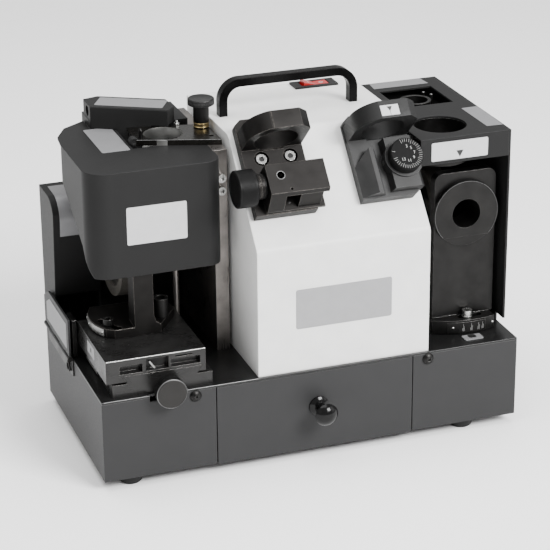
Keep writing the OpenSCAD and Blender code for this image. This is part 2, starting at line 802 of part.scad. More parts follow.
module carriage() {
    low = deck + slide_h + carriage_gap;
    lug_half = groove_half - 1;
    color([0.13, 0.12, 0.12]) at_base() difference() {
        union() {
            difference() {
                block([carriage_x0, slide_y, low], [carriage_x1, slide_y + carriage_l, carriage_z]);
                along_y(slide_y - cut, slide_y + carriage_l + cut)
                    dovetail(tail_half + slide_play / sin(60), deck + slide_h,
                             deck + slide_h + tail_h + slide_play, tail_flare + slide_play / tan(60));
                // recesses in the front face
                for (r = [[-39, -18, -14, -6], [8, 35, -13.5, -6], [12, 28, -4.5, -3], [-15, 6, -14, -2.5]])
                    block([slide_mid + r[0], slide_y - cut, carriage_z + r[2]],
                          [slide_mid + r[1], slide_y + 7, carriage_z + r[3]]);
            }
            // nut that hangs into the groove
            block([knob_x - lug_half, slide_y + nut_y[0], deck + 1],
                  [knob_x + lug_half, slide_y + nut_y[1], deck + slide_h + tail_h + cut]);
            rod_z([pivot[0], pivot[1], carriage_z - eps], pivot_d, 6);
        }
        rod_y([knob_x, slide_y + nut_y[0] - cut, knob_z], feed_d + 2 * gap, nut_y[1] - nut_y[0] + 2 * cut);
        translate([pivot[0], pivot[1], 0]) rotate([0, 0, lock_a])
            rod_z([lock_r, 0, carriage_z - 12], screw_d + 0.2, 12 + cut);
    }
}

module feed_screw() {
    color([0.2, 0.2, 0.2]) at_base() translate([knob_x, 0, knob_z]) rotate([-90, 0, 0]) {
        r = feed_knob_d / 2;
        // knob in front of the base, neck, and screw with a collar behind the bearing
        translate([0, 0, -13]) rotate_extrude()
            polygon([[0, 0], [r - 1, 0], [r, 1], [r, 9.5], [r - 1, 10.5], [4, 10.5],
                     [4, 13 + slide_y - gap], [0, 13 + slide_y - gap]]);
        cylinder(d = feed_d, h = slide_y + slide_l - 26);
        translate([0, 0, slide_y + bearing_l + gap]) cylinder(d = 8, h = 3);
    }
}

module travel_scale() {
    color("silver") at_base()
        block([slide_x - 0.8, slide_y + 50, deck + 1.5],
              [slide_x, slide_y + slide_l - 16, deck + slide_h - 0.5]);
}

plate_low = carriage_z + gap;
plate_high = plate_low + swivel_t;
post_at = [10.4, -15];
post_d = 14;

module swivel_bracket() {
    color([0.2, 0.19, 0.18]) at_base() translate([pivot[0], pivot[1], 0]) difference() {
        union() {
            translate([0, 0, plate_low]) linear_extrude(swivel_t) intersection() {
                circle(swivel_r);
                polygon([[-60, 26], [-60, -27.6], [-44, -27.6], [-37.6, -33], [5.4, -33], [27, -2],
                         [22.4, 26]]);
            }
            // upright behind the plate's front edge, with a foot that flares to the right
            block([-19, -33, plate_high - eps], [-1, -14, cover_low - 1]);
            along_y(-33, -14) polygon([[-1.1, plate_high - eps], [5, plate_high - eps], [1, plate_high + 3],
                                       [-1, plate_high + 10], [-1.1, plate_high + 10]]);
        }
        rod_z([0, 0, plate_low - cut], pivot_d + 2 * fit, 7);
        rod_z([post_at[0], post_at[1], plate_high], post_d + 9, base_h * 2);
        arc_slot(lock_r, screw_d + 0.6, lock_a - swivel_swing - 1, lock_a + swivel_swing + 1,
                 plate_low - cut, plate_high + cut);
    }
}

// A graduated strip round an edge of radius r, from angle a0 to a1
module scale_strip(r, a0, a1, h) {
    color("silver") linear_extrude(h) intersection() {
        difference() {
            circle(r + 0.8);
            circle(r);
        }
        wedge(2 * r, a0, a1);
    }
}

module swivel_scale() {
    at_base() translate([pivot[0], pivot[1], plate_low + 1]) scale_strip(swivel_r, 163, 209, swivel_t - 2);
}

module swivel_screw() {
    color([0.4, 0.4, 0.4]) at_base() translate([pivot[0], pivot[1], plate_high + gap])
        rotate([0, 0, lock_a]) translate([lock_r, 0, 0]) cap_screw(screw_d, swivel_t + 10);
}

module stop_post() {
    color([0.12, 0.12, 0.12]) at_base() translate([pivot[0] + post_at[0], pivot[1] + post_at[1], plate_high])
        difference() {
            cylinder(d = post_d, h = 18);
            translate([0, 0, 2]) cylinder(d = 9, h = 20);
        }
}

module guide_rod() {
    color("silver") at_base() rod_z([slide_x + slide_w - 1.5, slide_y + 102, deck], 6, cover_low - deck + 30);
}

// ---------- motor and wheels ----------

motor_x0 = housing_x + 19;
motor_x1 = housing_x1 - 19;
wheel_left_x = hood_left + 2;
wheel_right_x = base_w - 49;
shaft_x0 = wheel_left_x - 11;
shaft_x1 = wheel_right_x + wheel_right_w + 11;

module motor() {
    color([0.3, 0.32, 0.34]) at_base() difference() {
        union() {
            rod_x([motor_x0 + 12, spindle_y, spindle_h], motor_d, motor_x1 - motor_x0 - 24);
            rod_x([motor_x0, spindle_y, spindle_h], motor_d * 0.82, motor_x1 - motor_x0);
        }
        rod_x([motor_x0 - cut, spindle_y, spindle_h], shaft_d + 2 * shaft_play,
              motor_x1 - motor_x0 + 2 * cut);
    }
}

module motor_cradle() {
    color([0.25, 0.25, 0.25]) at_base() difference() {
        block([motor_x0 + 25, spindle_y - 42, deck], [motor_x1 - 25, spindle_y + 42, spindle_h - 28]);
        rod_x([motor_x0, spindle_y, spindle_h], motor_d + 0.2, motor_x1 - motor_x0);
    }
}

// Shaft with a hexagon nut outside each wheel
module spindle() {
    nut_t = 8;
    color("silver") at_base() {
        rod_x([shaft_x0, spindle_y, spindle_h], shaft_d, shaft_x1 - shaft_x0);
        for (x = [shaft_x0 + 3, shaft_x1 - 3 - nut_t])
            translate([x, spindle_y, spindle_h]) rotate([0, 90, 0])
                cylinder(d = shaft_d * 1.8, h = nut_t, $fn = 6);
    }
}

// Grinding wheel with a recessed web on both sides
module wheel(x, w) {
    r = wheel_d / 2;
    color([0.55, 0.5, 0.42]) at_base()
        translate([x, spindle_y, spindle_h]) rotate([0, 90, 0]) rotate_extrude()
        polygon([[shaft_d / 2 + 0.02, 0], [15, 0], [15, 2.5], [r - 10, 2.5], [r - 9, 0], [r, 0], [r, w],
                 [r - 9, w], [r - 10, w - 2.5], [15, w - 2.5], [15, w], [shaft_d / 2 + 0.02, w]]);
}

module wheel_left() { wheel(wheel_left_x, wheel_left_w); }
module wheel_right() { wheel(wheel_right_x, wheel_right_w); }

// ---------- drill station ----------

tower_top = deck + tower_h;
tower_wall_x = base_w - sheet;
window = [[base_w - 70, spindle_y - 8.5], [base_w - 16, spindle_y + 45.5]];
relief_at = [housing_x1 + 34.5, tower_front + 37];
relief_h = 29.5;
foot_notch = 9;                               // the right side clears the deck at the front

// Top of the drill cover, with the band folded down across its front
module right_cover() {
    color("dimgray") at_base() difference() {
        union() {
            block([housing_x1, tower_front, tower_top - sheet], [tower_wall_x, base_d - sheet, tower_top]);
            block([housing_x1, tower_front, tower_top - tower_band],
                  [tower_wall_x, tower_front + sheet, tower_top - eps]);
        }
        block([window[0][0], window[0][1], tower_top - sheet - cut],
              [window[1][0], window[1][1], tower_top + cut]);
        rod_z([relief_at[0], relief_at[1], tower_top - sheet - cut], relief_open_d, sheet + 2 * cut);
    }
}

// Its right side and back, in one piece
module right_side() {
    color("dimgray") at_base() difference() {
        union() {
            block([tower_wall_x, tower_front, deck], [base_w, base_d, tower_top]);
            block([housing_x1, base_d - sheet, deck], [tower_wall_x + eps, base_d, tower_top]);
        }
        block([tower_wall_x - cut, tower_front - cut, deck - cut],
              [base_w + cut, tower_front + 17, deck + foot_notch]);
    }
}

web_floor = tower_top - 21.5;                 // underside of the web thinning plate
web_at = [base_w - 43, spindle_y + 19];
right_frame_x = housing_x1 + 1;
right_frame_t = 10;

module right_frame() {
    color([0.25, 0.25, 0.25]) at_base() difference() {
        block([right_frame_x, spindle_y - 35, deck], [right_frame_x + right_frame_t, base_d - 7, web_floor]);
        rod_x([right_frame_x - cut, spindle_y, spindle_h], shaft_hole_d, right_frame_t + 2 * cut);
    }
}

// Plate with the web thinning socket and its two index pins
module web_socket() {
    color([0.15, 0.15, 0.15]) at_base() {
        difference() {
            union() {
                block([right_frame_x, window[0][1] - 3, web_floor],
                      [window[1][0] + 4, window[1][1] + 4, web_floor + 8]);
                rod_z([web_at[0], web_at[1], web_floor], web_bore_d + 6, 18.5);
            }
            rod_z([web_at[0], web_at[1], web_floor - cut], web_bore_d, 18.5 + 2 * cut);
        }
        for (p = [[14.5, 14.5], [19, 6]])
            rod_z([web_at[0] + p[0], web_at[1] + p[1], web_floor + 8 - eps], 3, 12);
    }
}

relief_low = tower_top - sheet - relief_h;

module relief_socket() {
    color([0.12, 0.12, 0.12]) at_base() translate([relief_at[0], relief_at[1], relief_low]) difference() {
        cylinder(d = relief_open_d + 5, h = relief_h);
        translate([0, 0, 4]) cylinder(d = relief_open_d, h = relief_h);
        translate([0, 0, -cut]) cylinder(d = point_bore_d, h = relief_h);
    }
}

point_at = [base_w - 34, 96];                 // axis of the point angle swivel
bracket_low = deck + 0.4;
bracket_t = 13.6;
bracket_top = bracket_low + bracket_t;
bracket_r = 72;
bracket_x0 = -35;                             // upright, from the swivel axis
upright_y = -56;
upright_t = 10;
upright_h = relief_low - 8 - bracket_top;     // it swings below the relief socket
upright_bend = 8;
point_pin_d = 12;
point_lock_r = 62;
point_lock_a = 268;
point_z = deck + point_axis_z;
socket_x = bracket_x0 + point_bracket_w / 2 - 0.5;
socket_tube_d = point_bore_d + 12;

module point_pivot() {
    color("silver") at_base() {
        rod_z([point_at[0], point_at[1], deck], point_pin_d, bracket_t + 0.4 + gap);
        rod_z([point_at[0], point_at[1], bracket_top + gap], point_pin_d + 8, 3);
    }
}

module point_bracket() {
    low_left = [bracket_x0, bracket_top - eps];
    low_right = [bracket_x0 + point_bracket_w, bracket_top - eps];
    high_left = [bracket_x0, bracket_top + upright_h];
    high_right = [bracket_x0 + point_bracket_w, bracket_top + upright_h];
    color([0.13, 0.13, 0.13]) at_base() translate([point_at[0], point_at[1], 0]) difference() {
        union() {
            translate([0, 0, bracket_low]) linear_extrude(bracket_t) intersection() {
                circle(bracket_r);
                translate([bracket_x0 - 2, -bracket_r]) square([point_bracket_w - 1, bracket_r + 16]);
            }
            // upright with rounded top corners
            along_y(upright_y, upright_y + upright_t) difference() {
                polygon([low_left, low_right, high_right, high_left]);
                corner_waste(high_left, low_left, high_right, upright_bend);
                corner_waste(high_right, high_left, low_right, upright_bend);
            }
        }
        rod_z([0, 0, bracket_low - cut], point_pin_d + 2 * fit, bracket_t + 2 * cut);
        rod_y([socket_x, upright_y - cut, point_z], socket_tube_d + 0.04, upright_t + 2 * cut);
        arc_slot(point_lock_r, screw_d + 0.6, point_lock_a - 6, point_lock_a + 11,
                 bracket_low - cut, bracket_top + cut);
    }
}

// Flanged socket that takes the drill chuck; the lower part of the flange is stepped back
module point_socket() {
    flange_t = 5;
    socket_at = [point_at[0] + socket_x, point_at[1] + upright_y, point_z];
    color([0.16, 0.15, 0.14]) at_base() translate(socket_at) difference() {
        union() {
            rod_y([0, -flange_t, 0], point_socket_d, flange_t);
            rod_y([0, -eps, 0], socket_tube_d, 24);
        }
        rod_y([0, -flange_t - cut, 0], point_bore_d, 24 + flange_t + 2 * cut);
        block([-point_socket_d, -flange_t - cut, -point_socket_d], [point_socket_d, -flange_t + 1.5, -22.5]);
    }
}

module point_scale() {
    at_base() translate([point_at[0], point_at[1], bracket_low + 1.5])
        scale_strip(bracket_r, 250, 280, bracket_t - 3);
}

module point_screw() {
    color("silver") at_base() translate([point_at[0], point_at[1], bracket_top + gap])
        rotate([0, 0, point_lock_a]) translate([point_lock_r, 0, 0]) cap_screw(screw_d, bracket_t + 0.4);
}

// ---------- gauges on the slope ----------

mill_ring_s = 93;                             // where each ring starts, up the slope
drill_ring_s = 90;
ring_x = gauge_w / 2;                         // ring axis from the plate's left edge
ring_n = ring_r - 1;
drill_x = housing_x1 - gauge_w - 2;           // left edge of the drill gauge

seat = 0.05;                                  // paint under a gauge

// Chuck ring with a flat top and its foot at height low, on a gauge whose left edge is at x
module chuck_ring(x, s, low) {
    mid = x + ring_x;
    difference() {
        union() {
            rod_y([mid, s, ring_n], 2 * ring_r, ring_t);
            block([mid - ring_r, s, low], [mid + ring_r, s + ring_t, ring_n]);
            block([mid, s, low], [mid + ring_r, s + ring_t, ring_n + ring_r * 0.62]);
        }
        rod_y([mid, s - cut, ring_n], ring_bore_d, ring_t + 2 * cut);
        block([x - cut, s - cut, ring_n + ring_r - 1.5], [x + gauge_w + cut, s + ring_t + cut, 3 * ring_r]);
        block([x - cut, s - cut, -ring_r], [x + gauge_w + cut, s + ring_t + cut, low]);
    }
}

// Base plate on an outline in x and s, grooved for the chuck on both sides of a ring at s
module gauge_plate(x, s, outline) {
    difference() {
        translate([0, 0, seat]) linear_extrude(gauge_t - seat) polygon(outline);
        rod_y([x + ring_x, s - 2, ring_n], ring_bore_d + 1.2, ring_t + 40);
    }
}

jaw_axis = [53, 22];                          // lead screw axis: distance up the slope, height
jaw_screw_d = 8;
block_x0 = mill_x + 9.5;                      // cross block of the end mill gauge
block_x1 = mill_x + gauge_w + 0.15 * (drill_x - mill_x - gauge_w);
slot_x0 = block_x0 + 15;
block_s = [39, 67];
block_n = 36;
jaw_x0 = slot_x0 + jaw_travel + 2;
jaw_l = 21;

// Section of the jaw in s, n, grown by g on its guided sides
module jaw_section(g) {
    polygon([[59 + g, 13 - g], [59 + g, 31 + g], [38.5 - g * 0.5, 31 + g], [33 - g, 13 - g]]);
}

module mill_gauge() {
    color([0.24, 0.22, 0.2]) at_base() on_slant() difference() {
        union() {
            gauge_plate(mill_x, mill_ring_s, [[mill_x, 30], [mill_x + gauge_w, 30], [mill_x + gauge_w, 118],
                                              [mill_x + gauge_w - 6, 123], [mill_x + 6, 123], [mill_x, 118]]);
            chuck_ring(mill_x, mill_ring_s, seat);
            along_x(block_x0, block_x1)
                polygon([[31, gauge_t - eps], [block_s[1], gauge_t - eps], [block_s[1], block_n],
                         [block_s[0], block_n], [31, gauge_t + 4]]);
        }
        along_x(slot_x0, block_x1 + cut) jaw_section(gap);
        along_x(slot_x0, block_x1 + cut)
            polygon([[20, 13 - gap], [45, 13 - gap], [45, 31 + gap], [20, 31 + gap]]);
        rod_x([block_x0 - cut, jaw_axis[0], jaw_axis[1]], jaw_screw_d + 2 * fit,
              slot_x0 - block_x0 + 2 * cut);
        for (p = gauge_screw_at) {
            rod_z([p[0], p[1], -cut], gauge_hole_d, gauge_t + 2 * cut);
            rod_z([p[0], p[1], gauge_t - 6.5], 13.5, 7.5);
        }
        // set screw hole and oil hole
        rod_z([mill_x + 22, 56, block_n - 12], 7, 13);
        rod_z([mill_x + 29, 42, block_n - 8], 2.5, 10);
    }
}

module mill_jaw() {
    color([0.3, 0.28, 0.26]) at_base() on_slant() difference() {
        along_x(jaw_x0, jaw_x0 + jaw_l) jaw_section(0);
        rod_x([jaw_x0 - cut, jaw_axis[0], jaw_axis[1]], jaw_screw_d + 2 * gap, jaw_l + 2 * cut);
    }
}

module jaw_screw() {
    knob_l = 17.5;
    neck_l = block_x0 - mill_x - gap;
    r = jaw_knob_d / 2;
    axis_at = [mill_x - gap, jaw_axis[0], jaw_axis[1]];
    color([0.07, 0.07, 0.07]) at_base() on_slant() translate(axis_at) rotate([0, 90, 0]) {
        translate([0, 0, -knob_l]) rotate_extrude()
            polygon([[0, 0.6], [r - 3, 0.6], [r - 2, 0], [r - 0.8, 0], [r, 0.8], [r, knob_l - 0.8],
                     [r - 0.8, knob_l], [0, knob_l]]);
        translate([0, 0, -eps]) cylinder(d = 22, h = neck_l);
        cylinder(d = jaw_screw_d, h = jaw_x0 + jaw_l - mill_x - 4);
    }
}

module gauge_screws() {
    color([0.4, 0.4, 0.4]) at_base() on_slant() for (p = gauge_screw_at)
        translate([p[0], p[1], gauge_t - 6.5]) cap_screw(gauge_screw_d, 12);
}

dial_at = [drill_x + 43.5, 63];               // dial axis: x, distance up the slope
dial_stem_d = 8;
boss_n = 20;
stop_d = 5;
stop_s = 63;
stop_n = 15;
ring_foot = 3;                                // height of the drill ring's foot in its slot

module drill_gauge() {
    x0 = drill_x;
    x1 = drill_x + gauge_w;
    color([0.2, 0.2, 0.2]) at_base() on_slant() difference() {
        union() {
            gauge_plate(x0, drill_ring_s, [[x0, 32], [x1 - 7, 32], [x1, 37], [x1, 109], [x1 - 5, 114],
                                           [x0 + 6, 114], [x0, 109]]);
            // left and right jaw of the V that holds the drill
            difference() {
                along_y(34, 78)
                    polygon([[x0, gauge_t - eps], [x0 + 22, gauge_t - eps], [x0 + 17.5, boss_n],
                             [x0 + 13.5, boss_n]]);
                translate([x0, 64, 0]) rotate([0, 0, 45]) translate([-30, 0, 0]) cube([60, 30, 30]);
            }
            along_y(36, 85) polygon([[x0 + 27.5, gauge_t - eps], [x1, gauge_t - eps], [x1, 17],
                                     [x1 - 3, boss_n], [x0 + 29.5, boss_n]]);
            intersection() {
                rod_z([dial_at[0], dial_at[1], seat], dial_d + 5, boss_n + 2 - seat);
                block([x0, 0, 0], [x1, 120, 60]);
            }
        }
        // slot for the foot of the ring
        block([x0 - cut, drill_ring_s - fit, ring_foot - fit],
              [x1 + cut, drill_ring_s + ring_t + fit, gauge_t + cut]);
        rod_z([dial_at[0], dial_at[1], boss_n - 12], dial_stem_d + 2 * fit, 20);
        rod_x([x0 + 24, stop_s, stop_n], stop_d + 2 * fit, dial_at[0] - x0 - 24 - 4.6);
    }
}

module drill_ring() {
    color([0.2, 0.2, 0.2]) at_base() on_slant() chuck_ring(drill_x, drill_ring_s, ring_foot);
}

// Graduated dial; its bevelled rim carries the ticks
module drill_dial() {
    r = dial_d / 2;
    color([0.05, 0.05, 0.05]) at_base() on_slant() translate([dial_at[0], dial_at[1], boss_n + 2 + gap]) {
        rotate_extrude() polygon([[0, 0], [r, 0], [r, 8], [r - 1, 9], [r - 1.6, 9], [0, 9]]);
        translate([0, 0, -12]) cylinder(d = dial_stem_d, h = 12 + eps);
    }
}

module drill_stop() {
    color("silver") at_base() on_slant() rod_x([drill_x + 25.8, stop_s, stop_n], stop_d, 10.6);
}

// ---------- back ----------

module power_inlet() {
    flange = 4;
    color([0.08, 0.08, 0.08]) at_base() difference() {
        union() {
            block([inlet_x - inlet_w / 2 - flange, base_d, inlet_z - inlet_h / 2 - flange],
                  [inlet_x + inlet_w / 2 + flange, base_d + inlet_out, inlet_z + inlet_h / 2 + flange]);
            block([inlet_x - inlet_w / 2 + fit, base_d - 20, inlet_z - inlet_h / 2 + fit],
                  [inlet_x + inlet_w / 2 - fit, base_d + eps, inlet_z + inlet_h / 2 - fit]);
        }
        block([inlet_x - inlet_w / 2 + 2.5, base_d - 16, inlet_z - inlet_h / 2 + 2.5],
              [inlet_x + inlet_w / 2 - 2.5, base_d + inlet_out + cut, inlet_z + inlet_h / 2 - 2.5]);
    }
}

base_box();
deck_plate();
foot_1();
foot_2();
foot_3();
foot_4();
box_walls();
base_screws();
drawer_box();
drawer_front();
drawer_knob();
main_housing();
handle();
switch_bezel();
switch_rocker();
left_frame();
frame_screws();
top_plate();
index_pin();
clamp_screw();
left_cover();
rear_hood();
left_housing();
flap();
flap_hinge();
latch_ring();
flap_stop();
dovetail_base();
carriage();
feed_screw();
travel_scale();
swivel_bracket();
swivel_scale();
swivel_screw();
stop_post();
guide_rod();
motor();
motor_cradle();
spindle();
wheel_left();
wheel_right();
right_cover();
right_side();
right_frame();
point_pivot();
point_bracket();
point_socket();
point_scale();
point_screw();
relief_socket();
web_socket();
mill_gauge();
mill_jaw();
jaw_screw();
gauge_screws();
drill_gauge();
drill_ring();
drill_dial();
drill_stop();
power_inlet();
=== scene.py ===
"""A bench sharpener for drill bits and end mills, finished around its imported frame.

Places are in millimetres from the base box's lower front left corner, as in the part's
source: x to the right, y to the back, z up. at() turns them into metres in the row frame.
Places on the sloping front are x, distance up the slope and height off it; on_slope()
turns those into the same millimetres.
"""
import math

import bmesh
import bpy
import numpy as np
from mathutils import Matrix, Vector


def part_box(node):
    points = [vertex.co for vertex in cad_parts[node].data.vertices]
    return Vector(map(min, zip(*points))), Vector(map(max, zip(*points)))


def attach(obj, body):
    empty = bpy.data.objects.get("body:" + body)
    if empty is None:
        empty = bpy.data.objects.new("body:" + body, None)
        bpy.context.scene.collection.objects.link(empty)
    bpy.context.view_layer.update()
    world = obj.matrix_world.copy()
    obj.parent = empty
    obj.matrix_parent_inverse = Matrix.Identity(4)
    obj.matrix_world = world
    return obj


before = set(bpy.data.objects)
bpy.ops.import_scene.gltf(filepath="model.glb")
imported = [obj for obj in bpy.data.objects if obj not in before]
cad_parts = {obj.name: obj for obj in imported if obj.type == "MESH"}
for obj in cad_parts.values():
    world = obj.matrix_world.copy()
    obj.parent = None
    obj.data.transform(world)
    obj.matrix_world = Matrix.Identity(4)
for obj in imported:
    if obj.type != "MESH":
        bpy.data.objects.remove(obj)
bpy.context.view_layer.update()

MM = 0.001
TURN = 2 * math.pi
X, Y, Z = np.eye(3)
ORIGIN = np.array(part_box("base_box")[0])
DECK = 78.0
COVER_ROOF = 272.0
TOWER_ROOF = 273.5
RING_TOP = 53.56                               # height of the gauges' rings off the slope
PLATE_THICK = 0.25                             # bare plates and stickers
SAME_POINT = 0.002 * MM
SHARP_FROM = math.radians(35)
SLOPE = math.radians(48)
SLOPE_FOOT = np.array([0.0, 2.0, 198.0])
UP_SLOPE = math.cos(SLOPE) * Y + math.sin(SLOPE) * Z
OFF_SLOPE = math.cos(SLOPE) * Z - math.sin(SLOPE) * Y
HOOD_TURN = math.radians(-29.6)
ALONG_HOOD = math.cos(HOOD_TURN) * X + math.sin(HOOD_TURN) * Y
FEED_FACE = (61.0, -13.0, 82.5)
POINT_PIVOT = (366.0, 96.0)


def at(points):
    """Millimetres from the base's corner to metres in the row frame."""
    return ORIGIN + np.asarray(points, float) * MM


def on_slope(x, s, n):
    """x along the machine, s up the slope and n off it, as millimetres from the base's corner."""
    return SLOPE_FOOT + x * X + s * UP_SLOPE + n * OFF_SLOPE


# ---------------------------------------------------------------- shader wiring

# Noise is drawn out into lines along the axis whose coordinate is shrunk.
EVEN = (1.0, 1.0, 1.0)
LENGTHWISE = (0.06, 1.0, 1.0)
ACROSS = (1.0, 0.06, 1.0)
UPRIGHT = (1.0, 1.0, 0.06)
BORE_LINES = (1.0, 1.0, 0.1)


class Wire:
    """A shader value that takes part in Python arithmetic; each operation adds a Math node."""

    def __init__(self, finish, socket):
        self.finish = finish
        self.socket = socket

    def math(self, operation, first, second):
        return self.finish.node("ShaderNodeMath", {"operation": operation}, {0: first, 1: second})

    def __add__(self, other):
        return self.math("ADD", self, other)

    def __radd__(self, other):
        return self.math("ADD", other, self)

    def __sub__(self, other):
        return self.math("SUBTRACT", self, other)

    def __rsub__(self, other):
        return self.math("SUBTRACT", other, self)

    def __mul__(self, other):
        return self.math("MULTIPLY", self, other)

    def __rmul__(self, other):
        return self.math("MULTIPLY", other, self)


class Finish:
    """One material: a Principled shader, and short ways to wire nodes to it."""

    def __init__(self, name, **fixed):
        self.material = bpy.data.materials.new(name)
        self.material.use_nodes = True
        self.tree = self.material.node_tree
        self.shader = self.tree.nodes["Principled BSDF"]
        self.feed(**fixed)

    def node(self, kind, settings, inputs, out=0):
        """Adds a node: its settings first, then the values or links of its sockets."""
        made = self.tree.nodes.new(kind)
        for key, value in settings.items():
            setattr(made, key, value)
        self.set(made, inputs)
        return Wire(self, made.outputs[out])

    def set(self, made, inputs):
        """Links wires and writes plain values to a node's sockets."""
        for key, value in inputs.items():
            socket = made.inputs[key]
            if isinstance(value, Wire):
                self.tree.links.new(value.socket, socket)
            elif isinstance(value, tuple) and socket.type == "RGBA":
                socket.default_value = (*value[:3], 1.0)
            else:
                socket.default_value = value

    def feed(self, **inputs):
        """Sets or links the shader's sockets, named with underscores for their spaces."""
        self.set(self.shader, {key.replace("_", " "): value for key, value in inputs.items()})
        return self

    def object_point(self):
        """Object coordinates in metres."""
        return self.node("ShaderNodeTexCoord", {}, {}, out=3)

    def place(self, stretch=EVEN):
        """Object coordinates, stretched along the axes."""
        return self.node("ShaderNodeMapping", {}, {"Vector": self.object_point(), "Scale": stretch})

    def noise(self, scale, detail=2.0, stretch=EVEN):
        return self.node("ShaderNodeTexNoise", {}, {"Vector": self.place(stretch), "Scale": scale, "Detail": detail})

    def vector(self, operation, first, second=(0.0, 0.0, 0.0), out=0):
        """Vector arithmetic; out is 1 where the result is a number."""
        return self.node("ShaderNodeVectorMath", {"operation": operation}, {0: first, 1: second}, out)

    def blend(self, mask, low, high):
        """A colour from low to high as mask goes from 0 to 1."""
        return self.node("ShaderNodeMix", {"data_type": "RGBA"}, {0: mask, 6: low, 7: high}, out=2)

    def level(self, value, low, high):
        """Value from low..high stretched to 0..1, held at both ends."""
        return self.node("ShaderNodeMapRange", {}, {0: value, 1: low, 2: high})

    def round_normal(self, radius):
        """The normal, with edges rounded by radius millimetres."""
        return self.node("ShaderNodeBevel", {"samples": 4}, {"Radius": radius * MM})

    def edges(self, radius, gain):
        """1 on a sharp edge, falling to 0 within about radius millimetres of it."""
        flat = self.node("ShaderNodeNewGeometry", {}, {}, out=1)
        same = self.vector("DOT_PRODUCT", flat, self.round_normal(radius), out=1)
        return self.level((1 - same) * gain, 0.0, 1.0)

    def bumps(self, height, depth, radius=0.0):
        """A Bump node on the Normal, over edges rounded by radius millimetres."""
        inputs = {"Height": height, "Distance": depth * MM, "Strength": 1.0}
        if radius:
            inputs["Normal"] = self.round_normal(radius)
        return self.feed(Normal=self.node("ShaderNodeBump", {}, inputs))


def shade(colour, factor):
    """A colour made darker by a factor below 1."""
    return tuple(part * factor for part in colour)


def powder_coat(name, colour, rough, edge_colour, radius=1.2, grain=1500.0, shine=0.35):
    """Sprayed and baked powder: faint mottling, fine orange peel, and a painted highlight along the bends."""
    coat = Finish(name, Specular_IOR_Level=shine)
    tone = coat.level(coat.noise(45.0, 3.0), 0.3, 0.7)
    body = coat.blend(tone, shade(colour, 0.93), colour)
    # Painted highlight: edge_colour is blended in along rounded bends and edges.
    coat.feed(Base_Color=coat.blend(coat.edges(radius, 3.0) * 0.55, body, edge_colour))
    coat.feed(Roughness=coat.level(coat.noise(grain * 0.6), 0.0, 1.0) * 0.14 + (rough - 0.07))
    return coat.bumps(coat.noise(grain, 1.0), 0.035, radius).material


def machined_steel(name, colour, edge_colour, rough, stretch, metal=0.9, radius=0.5, wear=0.7):
    """Ground steel: fine lines along one axis, cloudy blackening and bright worn edges."""
    steel = Finish(name, Metallic=metal)
    lines = steel.noise(900.0, 2.0, stretch)
    clouds = steel.level(steel.noise(60.0, 4.0), 0.35, 0.7)
    body = steel.blend(clouds, shade(colour, 0.62), colour)
    chips = steel.level(steel.noise(420.0, 3.0), 0.42, 0.6)
    worn = steel.edges(radius, 5.0) * (chips * 0.6 + 0.4) * wear
    steel.feed(Base_Color=steel.blend(worn, body, edge_colour))
    steel.feed(Roughness=lines * 0.25 + clouds * 0.12 + (rough - 0.15))
    return steel.bumps(lines, 0.02, radius).material


def bright_metal(name, colour, rough, stretch=EVEN):
    """Bare metal with faint turning lines."""
    metal = Finish(name, Metallic=1.0)
    lines = metal.noise(1200.0, 2.0, stretch)
    smudge = metal.level(metal.noise(90.0, 2.0), 0.3, 0.75)
    metal.feed(Base_Color=metal.blend(smudge, shade(colour, 0.8), colour))
    metal.feed(Roughness=lines * 0.15 + smudge * 0.1 + (rough - 0.1))
    return metal.bumps(lines, 0.01, 0.3).material


def lathe_steel(name, colour, rough, centre, across):
    """Faced steel: fine rings about a centre, as noise along the distance from its axis.

    across is 1 for each axis that lies in the face and 0 for the one that it turns about."""
    steel = Finish(name, Metallic=0.85)
    away = steel.vector("SUBTRACT", steel.object_point(), tuple(at(centre).tolist()))
    reach = steel.vector("LENGTH", steel.vector("MULTIPLY", away, across), out=1)
    rings = steel.node("ShaderNodeTexNoise", {"noise_dimensions": "1D"}, {"W": reach, "Scale": 2200.0, "Detail": 3.0})
    clouds = steel.level(steel.noise(70.0, 3.0), 0.3, 0.7)
    steel.feed(Base_Color=steel.blend(rings * 0.6 + clouds * 0.4, shade(colour, 0.7), colour))
    steel.feed(Roughness=rings * 0.22 + (rough - 0.11))
    return steel.bumps(rings, 0.012, 0.3).material


def moulded_plastic(name, colour, rough, grain, depth, coat=0.0, shine=0.4):
    """Moulded plastic or rubber with a fine grain."""
    plastic = Finish(name, Coat_Weight=coat, Coat_Roughness=0.1, Specular_IOR_Level=shine)
    tone = plastic.level(plastic.noise(70.0), 0.2, 0.8)
    plastic.feed(Base_Color=plastic.blend(tone, shade(colour, 0.85), colour))
    plastic.feed(Roughness=plastic.noise(300.0) * 0.1 + (rough - 0.05))
    return plastic.bumps(plastic.noise(grain, 1.0), depth, 0.5).material


def grit_stone(name):
    """Abrasive grains in a bond: coarse speckle in colour and height."""
    stone = Finish(name, Roughness=0.85)
    grains = stone.node("ShaderNodeTexVoronoi", {}, {"Vector": stone.place(), "Scale": 1600.0})
    bond, grain = (0.085, 0.078, 0.066), (0.035, 0.032, 0.027)
    stone.feed(Base_Color=stone.blend(stone.level(grains, 0.1, 0.6), bond, grain))
    return stone.bumps(grains, 0.15).material


def plate_paint(name, colour, rough=0.45, metal=0.0):
    """A thin printed or anodised plate, slightly uneven."""
    paint = Finish(name, Metallic=metal)
    tone = paint.level(paint.noise(120.0, 3.0), 0.3, 0.7)
    paint.feed(Base_Color=paint.blend(tone, shade(colour, 0.94), colour))
    paint.feed(Roughness=paint.noise(500.0) * 0.12 + (rough - 0.06))
    return paint.bumps(paint.noise(1800.0), 0.006, 0.15).material
